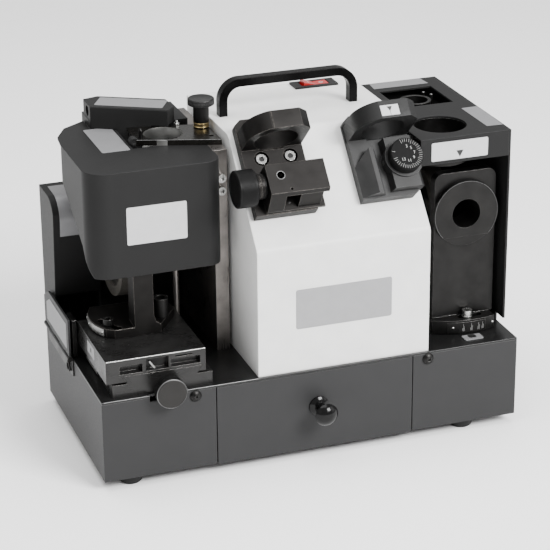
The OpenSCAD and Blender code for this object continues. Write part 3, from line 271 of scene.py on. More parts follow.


# Each powder coat's last colour is a painted highlight along its bends and edges.
grey_coat = powder_coat("grey powder coat", (0.0235, 0.0235, 0.024), 0.44, (0.06, 0.06, 0.061), shine=0.16)
# Painted shade: the base's grey coat made darker for the upper covers.
shaded_cover_coat = powder_coat("grey coat with painted shade", (0.0115, 0.0115, 0.0115), 0.48, (0.045, 0.045, 0.046), shine=0.12)
deck_coat = powder_coat("black deck coat", (0.006, 0.006, 0.006), 0.30, (0.20, 0.20, 0.20), radius=1.0, shine=0.25)
white_coat = powder_coat("white powder coat", (0.74, 0.74, 0.73), 0.38, (0.80, 0.80, 0.79), radius=2.0)
handle_enamel = powder_coat("gloss black enamel", (0.0015, 0.0015, 0.0015), 0.25, (0.005, 0.005, 0.005),
                            grain=700.0, shine=0.07)
slide_steel = machined_steel("slide steel", (0.024, 0.0235, 0.023), (0.22, 0.21, 0.20), 0.28, LENGTHWISE, metal=0.6)
black_oxide = machined_steel("black oxide steel", (0.020, 0.0195, 0.019), (0.20, 0.195, 0.19), 0.36, LENGTHWISE)
gunmetal = machined_steel("gunmetal casting", (0.016, 0.015, 0.0143), (0.20, 0.185, 0.17), 0.45, LENGTHWISE,
                          radius=0.8, wear=1.0)
gauge_black = machined_steel("blackened gauge", (0.031, 0.031, 0.031), (0.13, 0.13, 0.13), 0.48, ACROSS, metal=0.6)
ring_black = machined_steel("blackened ring", (0.004, 0.004, 0.004), (0.05, 0.05, 0.05), 0.5, ACROSS, metal=0.4)
ground_steel = machined_steel("ground dark steel", (0.27, 0.25, 0.235), (0.36, 0.34, 0.32), 0.32, UPRIGHT)
plate_steel = machined_steel("polished chuck plate", (0.040, 0.038, 0.034), (0.22, 0.205, 0.18), 0.22, LENGTHWISE)
bright_steel = bright_metal("bright steel", (0.42, 0.42, 0.41), 0.25)
scale_metal = bright_metal("satin scale plate", (0.40, 0.40, 0.39), 0.42, UPRIGHT)
brass = bright_metal("brass", (0.38, 0.29, 0.14), 0.25)
dial_black = moulded_plastic("black anodised dial", (0.0035, 0.0035, 0.0035), 0.6, 1500.0, 0.01, shine=0.1)
gloss_black = moulded_plastic("gloss black knob", (0.0025, 0.0025, 0.0025), 0.16, 900.0, 0.006, shine=0.2)
knob_black = moulded_plastic("grained black knob", (0.004, 0.004, 0.004), 0.42, 1400.0, 0.04, shine=0.1)
matte_black = moulded_plastic("matt black plastic", (0.008, 0.008, 0.008), 0.5, 1300.0, 0.03, shine=0.25)
rubber = moulded_plastic("black rubber", (0.007, 0.007, 0.007), 0.6, 800.0, 0.05, shine=0.25)
red_plastic = moulded_plastic("red rocker", (0.36, 0.006, 0.006), 0.25, 1200.0, 0.01, coat=0.3)
grit = grit_stone("grinding grit")
motor_paint = powder_coat("motor paint", (0.12, 0.13, 0.14), 0.5, (0.2, 0.2, 0.2))
white_plate = plate_paint("white plate", (0.48, 0.48, 0.485))
silver_plate = plate_paint("silver plate", (0.27, 0.27, 0.275), 0.4, 0.3)
grey_plate = plate_paint("grey plate", (0.19, 0.19, 0.195), 0.4, 0.2)
white_ink = plate_paint("white ink", (0.34, 0.34, 0.335))
black_ink = plate_paint("black ink", (0.004, 0.004, 0.004))
# Bare metal for worn edges and chamfers, and also a painted highlight laid along some edges.
edge_wear_and_highlight = bright_metal("bright edge wear and painted highlight", (0.17, 0.17, 0.17), 0.35)
# A lighter line round the point flange's rim.
rim_line_coat = powder_coat("lighter rim line coat", (0.07, 0.07, 0.07), 0.4, (0.12, 0.12, 0.12))
knurled_steel = machined_steel("knurled black steel", (0.012, 0.012, 0.012), (0.22, 0.22, 0.22), 0.4, UPRIGHT,
                               metal=0.5, radius=0.25)
liner_steel = bright_metal("bored steel", (0.27, 0.27, 0.26), 0.52, BORE_LINES)
knob_grip = machined_steel("cut black grip", (0.004, 0.004, 0.004), (0.02, 0.02, 0.02), 0.5, ACROSS, metal=0.8)
wheel_metal = bright_metal("wheel disc metal", (0.13, 0.125, 0.115), 0.4)
feed_facing = lathe_steel("faced steel", (0.028, 0.027, 0.026), 0.42, FEED_FACE, (1.0, 0.0, 1.0))

NODE_FINISHES = [
    (grey_coat, "base_box box_walls drawer_front drawer_box flap"),
    # The upper covers take the darker copy of the grey coat, a painted shade.
    (shaded_cover_coat, "left_cover rear_hood left_housing right_cover right_side"),
    (deck_coat, "deck_plate"),
    (white_coat, "main_housing"),
    (handle_enamel, "handle"),
    (slide_steel, "dovetail_base carriage"),
    (black_oxide, "feed_screw flap_hinge latch_ring flap_stop stop_post clamp_screw base_screws point_bracket "
                  "point_socket relief_socket web_socket point_scale swivel_screw index_pin"),
    (gunmetal, "mill_gauge mill_jaw swivel_bracket"),
    (gauge_black, "drill_gauge"),
    (ring_black, "drill_ring"),
    (ground_steel, "left_frame right_frame motor_cradle guide_rod"),
    (plate_steel, "top_plate"),
    (bright_steel, "spindle point_pivot point_screw drill_stop gauge_screws frame_screws"),
    (scale_metal, "travel_scale swivel_scale"),
    (dial_black, "drill_dial"),
    (gloss_black, "drawer_knob"),
    (knob_black, "jaw_screw"),
    (matte_black, "switch_bezel power_inlet"),
    (red_plastic, "switch_rocker"),
    (rubber, "foot_1 foot_2 foot_3 foot_4"),
    (grit, "wheel_left wheel_right"),
    (motor_paint, "motor"),
]
for finish, names in NODE_FINISHES:
    for name in names.split():
        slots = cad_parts[name].data.materials
        slots.clear()
        slots.append(finish)


# ---------------------------------------------------------------- surfaces


def close_up(mesh):
    """Joins points that fall together, drops faces without area and turns the rest outwards."""
    work = bmesh.new()
    work.from_mesh(mesh)
    bmesh.ops.remove_doubles(work, verts=work.verts, dist=SAME_POINT)
    bmesh.ops.dissolve_degenerate(work, edges=work.edges, dist=SAME_POINT / 2)
    bmesh.ops.recalc_face_normals(work, faces=work.faces)
    work.to_mesh(mesh)
    work.free()


def link_up(name, data):
    """A new object at the origin in the scene."""
    made = bpy.data.objects.new(name, data)
    bpy.context.scene.collection.objects.link(made)
    return made


def add_piece(name, points, faces, finish, body, smooth=True):
    """A closed mesh from millimetre points and face index lists, riding on a body."""
    mesh = bpy.data.meshes.new(name)
    mesh.from_pydata(at(points).tolist(), [], faces)
    mesh.materials.append(finish)
    mesh.update()
    piece = link_up(name, mesh)
    if smooth:
        mesh.shade_smooth()
        mesh.set_sharp_from_angle(angle=SHARP_FROM)
    close_up(mesh)
    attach(piece, body)


def surface(name, grids, finish, body):
    """One piece from several (rows, columns, 3) grids; a grid's u goes down and v across.

    Quad (i, j) is its corners (i, j), (i, j + 1), (i + 1, j + 1), (i + 1, j)."""
    points, faces, first = [], [], 0
    for grid in grids:
        rows, columns = grid.shape[:2]
        index = first + np.arange(rows * columns).reshape(rows, columns)
        quads = np.stack([index[:-1, :-1], index[:-1, 1:], index[1:, 1:], index[1:, :-1]], axis=-1)
        points.append(grid.reshape(-1, 3))
        faces += quads.reshape(-1, 4).tolist()
        first += rows * columns
    add_piece(name, np.concatenate(points), faces, finish, body)


def capped(grid, first, last):
    """A tube's grid, closed by a point at each end."""
    ends = [np.broadcast_to(point, (1, *grid.shape[1:])) for point in (first, last)]
    return np.concatenate([ends[0], grid, ends[1]])


def frame_of(axis):
    """The unit vector along an axis and two across it, the first as near to x, or else z, as it can be."""
    axis = np.asarray(axis, float) / np.linalg.norm(axis)
    hint = X if abs(axis[0]) < 0.8 else Z
    side = hint - axis * np.dot(hint, axis)
    side /= np.linalg.norm(side)
    return axis, side, np.cross(axis, side)


def turned(name, start, axis, profile, finish, body, steps=96, knurl=None):
    """A body of revolution: profile (r, h) pairs carried round the axis by an angle.

    With knurl = (low, high, count, depth), the radius between heights low and high sinks along two
    crossing families of helical grooves: depth times the sharper of |sin(count a / 2 + k h)| and
    |sin(count a / 2 - k h)|."""
    axis, side, other = frame_of(axis)
    profile = np.asarray(profile, float)
    angle = np.linspace(0.0, TURN, steps + 1)
    radius = np.repeat(profile[:, :1], steps + 1, axis=1)
    height = np.repeat(profile[:, 1:], steps + 1, axis=1)
    if knurl:
        low, high, count, depth = knurl
        inside = (height > low) & (height < high)
        k = count / (2 * radius.max())
        ridges = np.minimum(np.abs(np.sin(count * angle / 2 + k * height)),
                            np.abs(np.sin(count * angle / 2 - k * height)))
        radius = np.where(inside, radius - depth * (1 - ridges), radius)
    ring = np.cos(angle)[None, :, None] * side + np.sin(angle)[None, :, None] * other
    surface(name, [np.asarray(start, float) + radius[..., None] * ring + height[..., None] * axis], finish, body)


def round_outline(w, h, r, steps=6):
    """Corner arcs of a w by h rectangle with radius r, counter-clockwise, middle at 0."""
    arc = np.linspace(0.0, TURN / 4, steps + 1)
    quarters = []
    for k, (sx, sy) in enumerate([(1, 1), (-1, 1), (-1, -1), (1, -1)]):
        turn = arc + k * TURN / 4
        quarters.append(np.stack([sx * (w / 2 - r) + r * np.cos(turn), sy * (h / 2 - r) + r * np.sin(turn)], -1))
    return np.concatenate(quarters)


def sheet_piece(name, outline, middle, u, v, thick, finish, body, edge=0.06):
    """A thin plate on an outline: rings at the foot, below the rim, and inside it, then its middle."""
    u, v = np.asarray(u, float), np.asarray(v, float)
    out = np.cross(u, v)
    outline = np.asarray(outline, float)
    centre = outline.mean(axis=0)
    reach = np.abs(outline - centre).max()
    inner = centre + (outline - centre) * (1 - edge / reach)
    rings = [(outline, 0.0), (outline, thick - edge), (inner, thick), (inner * 0 + centre, thick)]
    closed = [(np.vstack([ring, ring[:1]]), level) for ring, level in [(inner * 0 + centre, 0.0)] + rings]
    grid = np.stack([np.asarray(middle, float) + ring[:, :1] * u + ring[:, 1:] * v + level * out
                     for ring, level in closed])
    surface(name, [grid], finish, body)


def label(name, middle, u, v, w, h, finish, body, r=1.6, thick=PLATE_THICK):
    """A bare plate, w along u and h along v, with corners of radius r."""
    sheet_piece(name, round_outline(w, h, r), middle, u, v, thick, finish, body)


def arrow(name, middle, u, v, size, finish, body):
    """A plain triangle on a bare plate, that points against v."""
    middle = np.asarray(middle, float) + np.cross(u, v) * PLATE_THICK
    outline = [(-size / 2, size * 0.45), (0.0, -size * 0.45), (size / 2, size * 0.45)]
    sheet_piece(name, outline, middle, u, v, 0.12, finish, body, edge=0.03)


def marks(name, middles, along, across, up, finish, body, thick=0.08):
    """Many small bars as one mesh: each has its middle, half its length along it and half its width across it.

    A bar runs from its middle as a * along + b * across for a and b from -1 to 1, and c * thick * up for c
    from 0 to 1; along, across and up are right-handed."""
    middles, along, across, up = (np.asarray(a, float) for a in (middles, along, across, up))
    corners = [(-1, -1, 0), (1, -1, 0), (1, 1, 0), (-1, 1, 0), (-1, -1, 1), (1, -1, 1), (1, 1, 1), (-1, 1, 1)]
    points = np.stack([middles + a * along + b * across + c * thick * up for a, b, c in corners], axis=1)
    sides = [(3, 2, 1, 0), (4, 5, 6, 7), (0, 1, 5, 4), (1, 2, 6, 5), (2, 3, 7, 6), (3, 0, 4, 7)]
    faces = (np.arange(len(middles))[:, None, None] * 8 + np.array(sides)[None]).reshape(-1, 4).tolist()
    add_piece(name, points.reshape(-1, 3), faces, finish, body, smooth=False)


def numeral(name, text, middle, u, v, size, finish, body):
    """A plain number, made a mesh before it is laid in the plane of u and v."""
    curve = bpy.data.curves.new(name, "FONT")
    curve.body = text
    curve.size = size
    curve.align_x = "CENTER"
    curve.align_y = "CENTER"
    curve.extrude = 0.05
    source = link_up(name, curve)
    bpy.context.view_layer.update()
    mesh = bpy.data.meshes.new_from_object(source.evaluated_get(bpy.context.evaluated_depsgraph_get()))
    bpy.data.objects.remove(source)
    flat = np.array([p.co for p in mesh.vertices])
    out = np.cross(u, v)
    points = middle + flat[:, :1] * u + flat[:, 1:2] * v + flat[:, 2:] * out
    faces = [list(face.vertices) for face in mesh.polygons]
    add_piece(name, points, faces, finish, body, smooth=False)


def helix_thread(name, start, axis, r, pitch, length, finish, body, steps=32):
    """A closed thread: radius r falls by 0.45 of the pitch, as a sharp wave of height over pitch minus turns."""
    axis, side, other = frame_of(axis)
    rows = int(length / pitch * 8)
    angle = np.linspace(0.0, TURN, steps + 1)[None, :]
    height = np.linspace(0.0, length, rows + 1)[:, None]
    wave = np.abs(((height / pitch - angle / TURN) % 1.0) * 2 - 1)
    radius = r - 0.45 * pitch * (1 - wave)
    ring = np.cos(angle)[..., None] * side + np.sin(angle)[..., None] * other
    grid = start + radius[..., None] * ring + height[..., None] * axis
    surface(name, [capped(grid, start, start + length * axis)], finish, body)


def rod(name, path, r, finish, body, steps=12):
    """A round rod: a circle of radius r carried along a path and closed at both ends."""
    path = np.asarray(path, float)
    step = np.gradient(path, axis=0)
    step /= np.linalg.norm(step, axis=1)[:, None]
    hint = (X, Y, Z)[np.argmin(np.abs(step).max(axis=0))]
    side = hint - step * (step @ hint)[:, None]
    side /= np.linalg.norm(side, axis=1)[:, None]
    other = np.cross(step, side)
    angle = np.linspace(0.0, TURN, steps + 1)[None, :, None]
    tube = path[:, None] + r * (np.cos(angle) * side[:, None] + np.sin(angle) * other[:, None])
    surface(name, [capped(tube, path[0], path[-1])], finish, body)


def domes(name, places, outs, r, finish, body, rise=0.55, steps=16):
    """Rivet or screw heads: radius r sin t and height rise r cos t, t from pole to rim, closed 0.1 below it."""
    grids = []
    t = np.linspace(0.0, TURN / 4, 5)
    radius = np.append(r * np.sin(t), [r, 0.0])
    height = np.append(rise * r * np.cos(t), [-0.1, -0.1])
    angle = np.linspace(0.0, TURN, steps + 1)[None, :, None]
    for place, out in zip(places, outs):
        out, side, other = frame_of(out)
        ring = np.cos(angle) * side + np.sin(angle) * other
        grids.append(np.asarray(place, float) + radius[:, None, None] * ring + height[:, None, None] * out)
    surface(name, grids, finish, body)


def hollow_ring(name, start, axis, inner, outer, low, high, finish, body, steps=96, soft=0.25):
    """A washer or tube: a rectangle with its outer corners cut by soft, turned about an axis."""
    profile = [(inner, low), (outer - soft, low), (outer, low + soft), (outer, high - soft), (outer - soft, high),
               (inner, high), (inner, low)]
    turned(name, start, axis, profile, finish, body, steps)


def edge_marks(name, centre, r, angles, heights, low, half, finish, body):
    """Upright ticks on the edge of a round plate, twice half wide and each with its own height from low up."""
    turn = np.radians(angles)[:, None]
    out = np.cos(turn) * X + np.sin(turn) * Y
    across = half * (np.cos(turn) * Y - np.sin(turn) * X)
    upright = np.asarray(heights)[:, None] / 2 * Z
    marks(name, np.array([*centre, low]) + out * r + upright, across, upright, out, finish, body)


def rivets_on_arc(name, centre, radii, angles, z, r, body):
    """Rivets on the edge of a round plate, each at its own radius and angle in degrees, facing outwards."""
    turn = np.radians(angles)[:, None]
    outs = np.asarray(radii)[:, None] * (np.cos(turn) * X + np.sin(turn) * Y)
    domes(name, outs + np.array([*centre, z]), outs, r, bright_steel, body)


# ---------------------------------------------------------------- left station


def cover_labels():
    """Bare plates on the cover's front, on its roof and on the hood."""
    label("cover_plate", (68.5, 45.0, 221.5), X, Z, 55.0, 35.0, white_plate, "machine")
    label("roof_plate", (49.0, 134.5, COVER_ROOF), X, Y, 26.0, 68.0, grey_plate, "machine")
    label("hood_plate", (82.5, 169.0, 293.0), ALONG_HOOD, np.cross(Z, ALONG_HOOD), 64.0, 23.0, grey_plate, "machine")


def hood_front():
    """The hood's slanted front, one face from the roof to the cap, cut away above the chuck plate."""
    outline = [(0.3, 272.15), (57.0, 272.15), (57.0, 277.5), (73.2, 277.5), (73.2, 292.5), (0.3, 292.5)]
    foot = np.array([44.0, 171.5, 0.0]) - 0.32 * np.cross(ALONG_HOOD, Z)
    sheet_piece("hood_front", outline, foot, ALONG_HOOD, Z, 0.47, shaded_cover_coat, "machine", edge=0.1)


def housing_label():
    """A plate that follows the left housing's top, its rounded edge and its leaning front.

    Its cross-section, as x and height off the sheet, is carried along the path and closed at both ends."""
    r, front, top = 20.0, 150.0, 213.0
    bend = np.linspace(0.0, TURN / 4, 13)
    path = np.concatenate([
        np.stack([np.linspace(193.0, front + r, 8), np.full(8, top)], -1),
        np.stack([front + r - r * np.sin(bend[1:]), top - r + r * np.cos(bend[1:])], -1),
        np.stack([np.linspace(front + 0.1, front + 1.65, 6), np.linspace(top - r - 1, 178.0, 6)], -1),
    ])
    section = np.array([(6.0, -0.15), (6.05, 0.2), (6.4, 0.25), (34.6, 0.25), (34.95, 0.2), (35.0, -0.15),
                        (6.0, -0.15)])
    step = np.gradient(path, axis=0)
    normal = np.stack([step[:, 1], -step[:, 0]], -1)
    normal /= np.linalg.norm(normal, axis=1)[:, None]
    grid = np.empty((len(path), len(section), 3))
    grid[..., 0] = section[:, 0]
    grid[..., 1:] = path[:, None, :] + normal[:, None, :] * section[None, :, 1:]
    first, last = grid[0, :-1].mean(axis=0), grid[-1, :-1].mean(axis=0)
    surface("housing_plate", [capped(grid, first, last)], grey_plate, "machine")


def clamp_dress():
    """The clamp screw: a knurled head with a dished top and a brass bush with two lips at its foot."""
    foot = (136.25, 126.0, 277.3)
    rows = [(12.2, h) for h in np.linspace(21.5, 26.5, 21)]
    head = [(0.0, 20.9), (11.2, 20.9)] + rows + [(11.4, 27.25), (10.2, 27.3), (9.6, 27.05), (0.0, 27.05)]
    turned("clamp_knurl", foot, Z, head, knurled_steel, "clamp", 288, (21.4, 26.6, 72, 0.35))
    bush = [(5.8, 0.25), (7.0, 0.25), (7.35, 0.55), (7.35, 1.1), (6.95, 1.45), (6.95, 3.5), (7.3, 3.8), (7.3, 4.4),
            (7.0, 4.75), (5.8, 4.75), (5.8, 0.25)]
    turned("clamp_bush", foot, Z, bush, brass, "clamp", 72)


def plate_dress():
    """Two studs with nuts behind the chuck bore, the bore's liner, a painted highlight on the front edge and the
    sprung plunger.
    """
    nut = [(0.0, 0.0), (2.6, 0.0), (3.0, 0.35), (3.0, 1.9), (2.6, 2.3), (1.5, 2.3), (1.5, 4.1), (1.2, 4.4), (0.0, 4.4)]
    for side, x, y in (("left", 104.5, 141.3), ("right", 116.5, 138.3)):
        turned("plate_nut_" + side, (x, y, 277.02), Z, nut, bright_steel, "machine", 6)
    # Painted highlight along the chuck plate's front edge.
    rod("plate_edge_highlight", [(70.6, 109.95, 276.9), (106.0, 97.75, 276.9), (141.8, 85.4, 276.9)], 0.3, edge_wear_and_highlight, "machine")
    hollow_ring("bore_liner", (98.0, 120.0, COVER_ROOF), Z, 17.95, 19.2, -9.0, 4.95, liner_steel, "machine",
                128, soft=0.05)
    plunger = [(0.0, 0.0), (3.6, 0.0), (3.9, 0.3), (3.9, 6.6), (3.5, 7.0), (2.0, 7.0), (1.8, 6.6), (0.0, 6.6)]
    turned("plunger", (68.3, 117.0, 275.6), -Y, plunger, matte_black, "machine", 48)


def feed_dress():
    """The feed knob: a knurled sleeve and a faced disc with a thin bright chamfer."""
    rows = [(14.12, h) for h in np.linspace(1.5, 9.1, 27)]
    sleeve = [(13.0, 0.9), (13.6, 1.0)] + rows + [(13.6, 9.6), (13.0, 9.7), (13.0, 0.9)]
    disc = [(0.0, -0.12), (12.9, -0.12), (13.02, 0.1), (13.02, 0.6), (0.0, 0.6)]
    chamfer = [(13.3, 0.3), (13.5, 0.25), (14.05, 0.8), (14.0, 1.05), (13.3, 1.05), (13.3, 0.3)]
    turned("feed_knurl", FEED_FACE, Y, sleeve, knurled_steel, "feed", 288, (1.4, 9.2, 84, 0.3))
    turned("feed_face", FEED_FACE, Y, disc, feed_facing, "feed")
    turned("feed_chamfer", FEED_FACE, Y, chamfer, edge_wear_and_highlight, "feed")


def slide_dress():
    """Bright edges of the slide, the pin in its front, its scale plate and mark, and the rail's ticks and rivets."""
    rod("carriage_edge", [(6.9, 6.05, 113.35), (60.0, 6.05, 113.35), (97.6, 6.05, 113.35)], 0.5, bright_steel,
        "slide_carriage")
    rod("gib_pin", [(46.2, 6.35, 108.6), (48.6, 6.3, 105.0), (51.0, 6.25, 101.6)], 0.9, bright_steel, "slide_carriage")
    rod("carriage_side_edge", [(6.6, 6.6, 113.3), (6.6, 55.0, 113.3), (6.6, 102.0, 113.3)], 0.28, edge_wear_and_highlight,
        "slide_carriage")
    label("carriage_plate", (6.5, 55.5, 104.5), -Y, Z, 23.0, 11.0, silver_plate, "slide_carriage", r=0.8)
    label("carriage_mark", (6.22, 55.5, 104.5), -Y, Z, 4.0, 4.0, black_ink, "slide_carriage", r=0.3,
          thick=0.08)
    domes("travel_rivets", [(11.15, 59.5, 84.5), (11.15, 90.5, 84.5)], [-X, -X], 1.5, bright_steel, "machine")
    count = 25                                 # ticks 1 mm apart, every fifth one long
    half = np.where(np.arange(count) % 5 == 0, 2.4, 1.4)
    middles = np.stack([np.full(count, 11.2), np.linspace(63.0, 87.0, count), 89.0 - half], -1)
    marks("travel_ticks", middles, [-0.12 * Y] * count, half[:, None] * Z, -X, black_ink, "machine")


def swivel_dress():
    """Ticks and rivets of the mill swivel's graduated strip, seen from its left."""
    pivot, r, count = (65.6, 84.0), 52.8, 37   # ticks one degree apart, every fifth one long
    heights = np.where(np.arange(count) % 5 == 0, 3.4, 2.0)
    edge_marks("swivel_ticks", pivot, r, np.linspace(167.0, 203.0, count), heights, 115.0, 0.1, black_ink,
               "mill_swivel")
    rivets_on_arc("swivel_rivets", pivot, (r, r, r), (164.8, 180.2, 206.6), 118.05, 1.35, "mill_swivel")


def flap_dress():
    """The bare plate on the flap's outer face, with one corner cut off."""
    outline = [(-37.0, -12.5), (37.5, -12.5), (37.5, 12.5), (-24.5, 12.5), (-37.0, 5.0)]
    sheet_piece("flap_plate", outline, (-4.0, 141.0, 99.6), -Y, Z, PLATE_THICK, grey_plate, "side_flap")


cover_labels()
hood_front()
housing_label()
clamp_dress()
plate_dress()
feed_dress()
slide_dress()
swivel_dress()
flap_dress()

# ---------------------------------------------------------------- housing and base


def housing_dress():
    """The bare nameplate on the white front."""
    label("name_plate", (228.0, 2.0, 138.5), X, Z, 92.0, 38.0, silver_plate, "machine", r=2.0, thick=0.3)


def base_dress():
    """A painted highlight on the deck's folded edge, in two lengths beside the feed knob."""
    for name, stations in (("deck_edge_highlight_left", (2.0, 20.0, 43.5)), ("deck_edge_highlight_right", (78.5, 110.0, 145.0))):
        # Painted highlight: bright rods along the deck's rounded front edge.
        rod(name, [(x, 0.2, DECK - 0.1) for x in stations], 0.42, edge_wear_and_highlight, "machine")


def rocker_marks():
    """A bar and a ring on the two halves of the rocker, each laid in its own slope.

    A half climbs by rise over its run, from the middle of the top to its end, and the rocker leans by tilt."""
    tilt, axis = math.radians(7), np.array([269.5, 191.0, 281.0])
    run, rise = 12.5, 2.0
    across = math.cos(tilt) * X - math.sin(tilt) * Z
    upward = math.sin(tilt) * X + math.cos(tilt) * Z
    for name, side in (("rocker_on", -1), ("rocker_off", 1)):
        along = (side * run * across + rise * upward) / math.hypot(run, rise)
        out = (run * upward - side * rise * across) / math.hypot(run, rise)
        middle = axis + side * 6.6 * across + 4.56 * upward
        if side < 0:
            marks(name, [middle], [2.0 * Y], [0.35 * along], out, white_ink, "rocker")
        else:
            hollow_ring(name, middle, out, 1.4, 2.1, -0.05, 0.08, white_ink, "rocker", 32, soft=0.03)


housing_dress()
base_dress()
rocker_marks()

# ---------------------------------------------------------------- drill station


def tower_labels():
    """Bare plates on the drill cover's roof and front band, and the band's arrow."""
    web = [(-28.0, -8.5), (28.0, -8.5), (26.5, 8.5), (-26.5, 8.5)]
    relief = [(-8.0, -28.0), (7.5, -28.5), (8.2, 28.5), (-8.5, 28.0)]
    for name, outline, x, y in (("web_plate", web, 357.0, 192.5), ("relief_plate", relief, 391.3, 72.0)):
        sheet_piece(name, outline, (x, y, TOWER_ROOF), X, Y, PLATE_THICK, grey_plate, "machine")
    label("band_plate", (349.25, 27.5, 260.75), X, Z, 55.5, 17.5, white_plate, "machine", r=1.4)
    arrow("band_arrow", (349.25, 27.5, 257.0), X, Z, 7.0, black_ink, "machine")


def point_dress():
    """Dress of the point angle swivel: a lighter line round the rim, a painted highlight on the step, graduations,
    rivets, pointer and washer.
    """
    turn = np.radians(np.linspace(-43.0, 223.0, 61))[:, None]
    rim = np.array([361.0, 35.0, 194.5]) + 31.3 * (np.cos(turn) * X + np.sin(turn) * Z)
    rod("flange_rim", rim, 0.28, rim_line_coat, "point_swivel", 10)
    # Painted highlight along the flange's lower step.
    rod("flange_step_highlight", [(339.8, 36.35, 171.95), (361.0, 36.35, 171.95), (382.2, 36.35, 171.95)], 0.28, edge_wear_and_highlight,
        "point_swivel")
    strip, plate = 72.8, 72.0                  # radius of the graduated strip, and of the plate beside it
    angles = (np.array([262.2, 268.4, 274.2, 277.5])[:, None] + np.array([-0.7, 0.0, 0.7])).ravel()
    heights = np.tile([3.0, 7.0, 4.6], 4)
    edge_marks("point_ticks", POINT_PIVOT, strip, angles, heights, 81.6, 0.09, white_ink, "point_swivel")
    rivets_on_arc("point_rivets", POINT_PIVOT, (strip, plate), (254.3, 287.0), 85.2, 1.4, "point_swivel")
    thick = 0.8
    label("point_pointer", (361.5, 15.2, DECK), X, Y, 18.5, 10.5, grey_plate, "machine", r=1.2,
          thick=thick)
    label("pointer_notch", (361.5, 16.6, DECK + thick), X, Y, 8.0, 7.2, black_ink, "machine", r=2.5,
          thick=0.06)
    hollow_ring("point_washer", (363.8, 34.0, 92.06), Z, 3.3, 5.25, 0.0, 1.2, bright_steel, "machine",
                64)


def socket_dress():
    """Worn tips on the two pins beside the web thinning socket."""
    pin_top = 272.0
    tips = [(371.5, 163.5, pin_top), (376.0, 155.0, pin_top)]
    domes("web_pin_tips", tips, [Z, Z], 1.3, edge_wear_and_highlight, "machine")


tower_labels()
point_dress()
socket_dress()

# ---------------------------------------------------------------- gauges


def ring_top(name, middle, s, finish):
    """The flat top and the cut corner of a chuck ring, as a prism on a five-sided outline."""
    outline = [(-8.0, 53.4), (22.0, 44.0), (28.03, 44.2), (18.7, RING_TOP), (-8.0, RING_TOP)]
    sheet_piece(name, outline, on_slope(middle, s + 16.97, 0.0), X, OFF_SLOPE, 16.94, finish, "machine",
                edge=0.15)


def gauge_dress():
    """Flat tops of both chuck rings, the arrow plate with its line, black hexagons of painted shade in the screws'
    sockets, a rim round the set hole and a black disc of painted shade in the jaw pin's hole.
    """
    ring_top("mill_ring_top", 179.25, 93.0, gunmetal)
    ring_top("drill_ring_top", 280.25, 90.0, ring_black)
    arrow_x = 280.4
    label("ring_plate", on_slope(arrow_x, 97.2, RING_TOP), X, UP_SLOPE, 17.1, 10.0, white_plate, "machine",
          r=0.4)
    arrow("ring_arrow", on_slope(arrow_x, 98.4, RING_TOP), X, UP_SLOPE, 5.2, black_ink, "machine")
    marks("ring_line", [on_slope(arrow_x, 94.6, RING_TOP + PLATE_THICK)], [0.2 * X], [2.0 * UP_SLOPE], OFF_SLOPE,
          black_ink, "machine")
    # Painted shade: black hexagons where the screw heads' sockets are recessed.
    socket = [(0.0, 0.0), (2.55, 0.0), (2.55, 2.3), (2.3, 2.5), (0.0, 2.5)]
    for side, x in (("left", 168.0), ("right", 195.0)):
        turned("gauge_socket_shade_" + side, on_slope(x, 83.5, 6.25), OFF_SLOPE, socket, matte_black, "machine",
               6)
    hollow_ring("set_hole_rim", on_slope(172.5, 56.0, 36.0), OFF_SLOPE, 3.45, 4.0, -0.3, 0.06, edge_wear_and_highlight, "machine",
                48, soft=0.05)
    lower_face = 8.0 * OFF_SLOPE - 22.0 * UP_SLOPE
    # Painted shade: a black disc where the jaw pin's hole is.
    turned("jaw_pin_hole_shade", on_slope(178.4, 34.3, 23.4), lower_face, [(0.0, -0.3), (1.1, -0.3), (1.1, 0.3), (0.0, 0.3)],
           matte_black, "machine", 32)


def jaw_dress():
    """The jaw screw: a fine-cut sleeve round its knob, a polished collar and the thread in the slot."""
    s, n = 53.0, 22.0                          # the screw's axis
    start = on_slope(132.7, s, n)
    rows = [(16.9, h) for h in np.linspace(2.4, 15.0, 43)]
    sleeve = [(16.0, 2.1), (16.7, 2.2)] + rows + [(16.7, 15.2), (16.0, 15.3), (16.0, 2.1)]
    turned("jaw_knurl", start, X, sleeve, knob_grip, "jaw_knob", 352, (2.3, 15.1, 88, 0.16))
    collar = [(10.5, 17.9), (11.2, 18.0), (11.5, 18.4), (11.5, 20.6), (11.2, 21.0), (11.2, 21.6), (11.5, 22.0),
              (11.5, 24.6), (11.1, 25.0), (10.5, 25.0), (10.5, 17.9)]
    turned("jaw_collar", start, X, collar, gunmetal, "jaw_knob")
    helix_thread("jaw_thread", on_slope(175.3, s, n), X, 4.2, 1.25, 12.5, bright_steel, "jaw_knob")


def dial_face():
    """Ticks round the dial's rim and its odd numbers, at degrees clockwise from the top."""
    centre = on_slope(295.0, 63.0, 31.3)
    rim, number_reach, lift = 14.4, 7.0, 0.02
    clock = np.append(np.linspace(-15.0, 255.0, 31), 285.0)
    turn = np.radians(90.0 - clock)[:, None]
    half = np.where(np.arange(len(clock)) % 5 == 0, 2.0, 1.6)[:, None]
    out = np.cos(turn) * X + np.sin(turn) * UP_SLOPE
    side = np.cos(turn) * UP_SLOPE - np.sin(turn) * X
    marks("dial_ticks", centre + out * (rim - half), out * half, side * 0.12, OFF_SLOPE, white_ink, "dial")
    for number, number_clock in zip((3, 5, 7, 9, 11, 13), (10, 45, 88, 130, 175, 222)):
        angle = math.radians(90 - number_clock)
        middle = centre + number_reach * (math.cos(angle) * X + math.sin(angle) * UP_SLOPE) + lift * OFF_SLOPE
        numeral(f"dial_{number}", str(number), middle, X, UP_SLOPE, 4.0, white_ink, "dial")


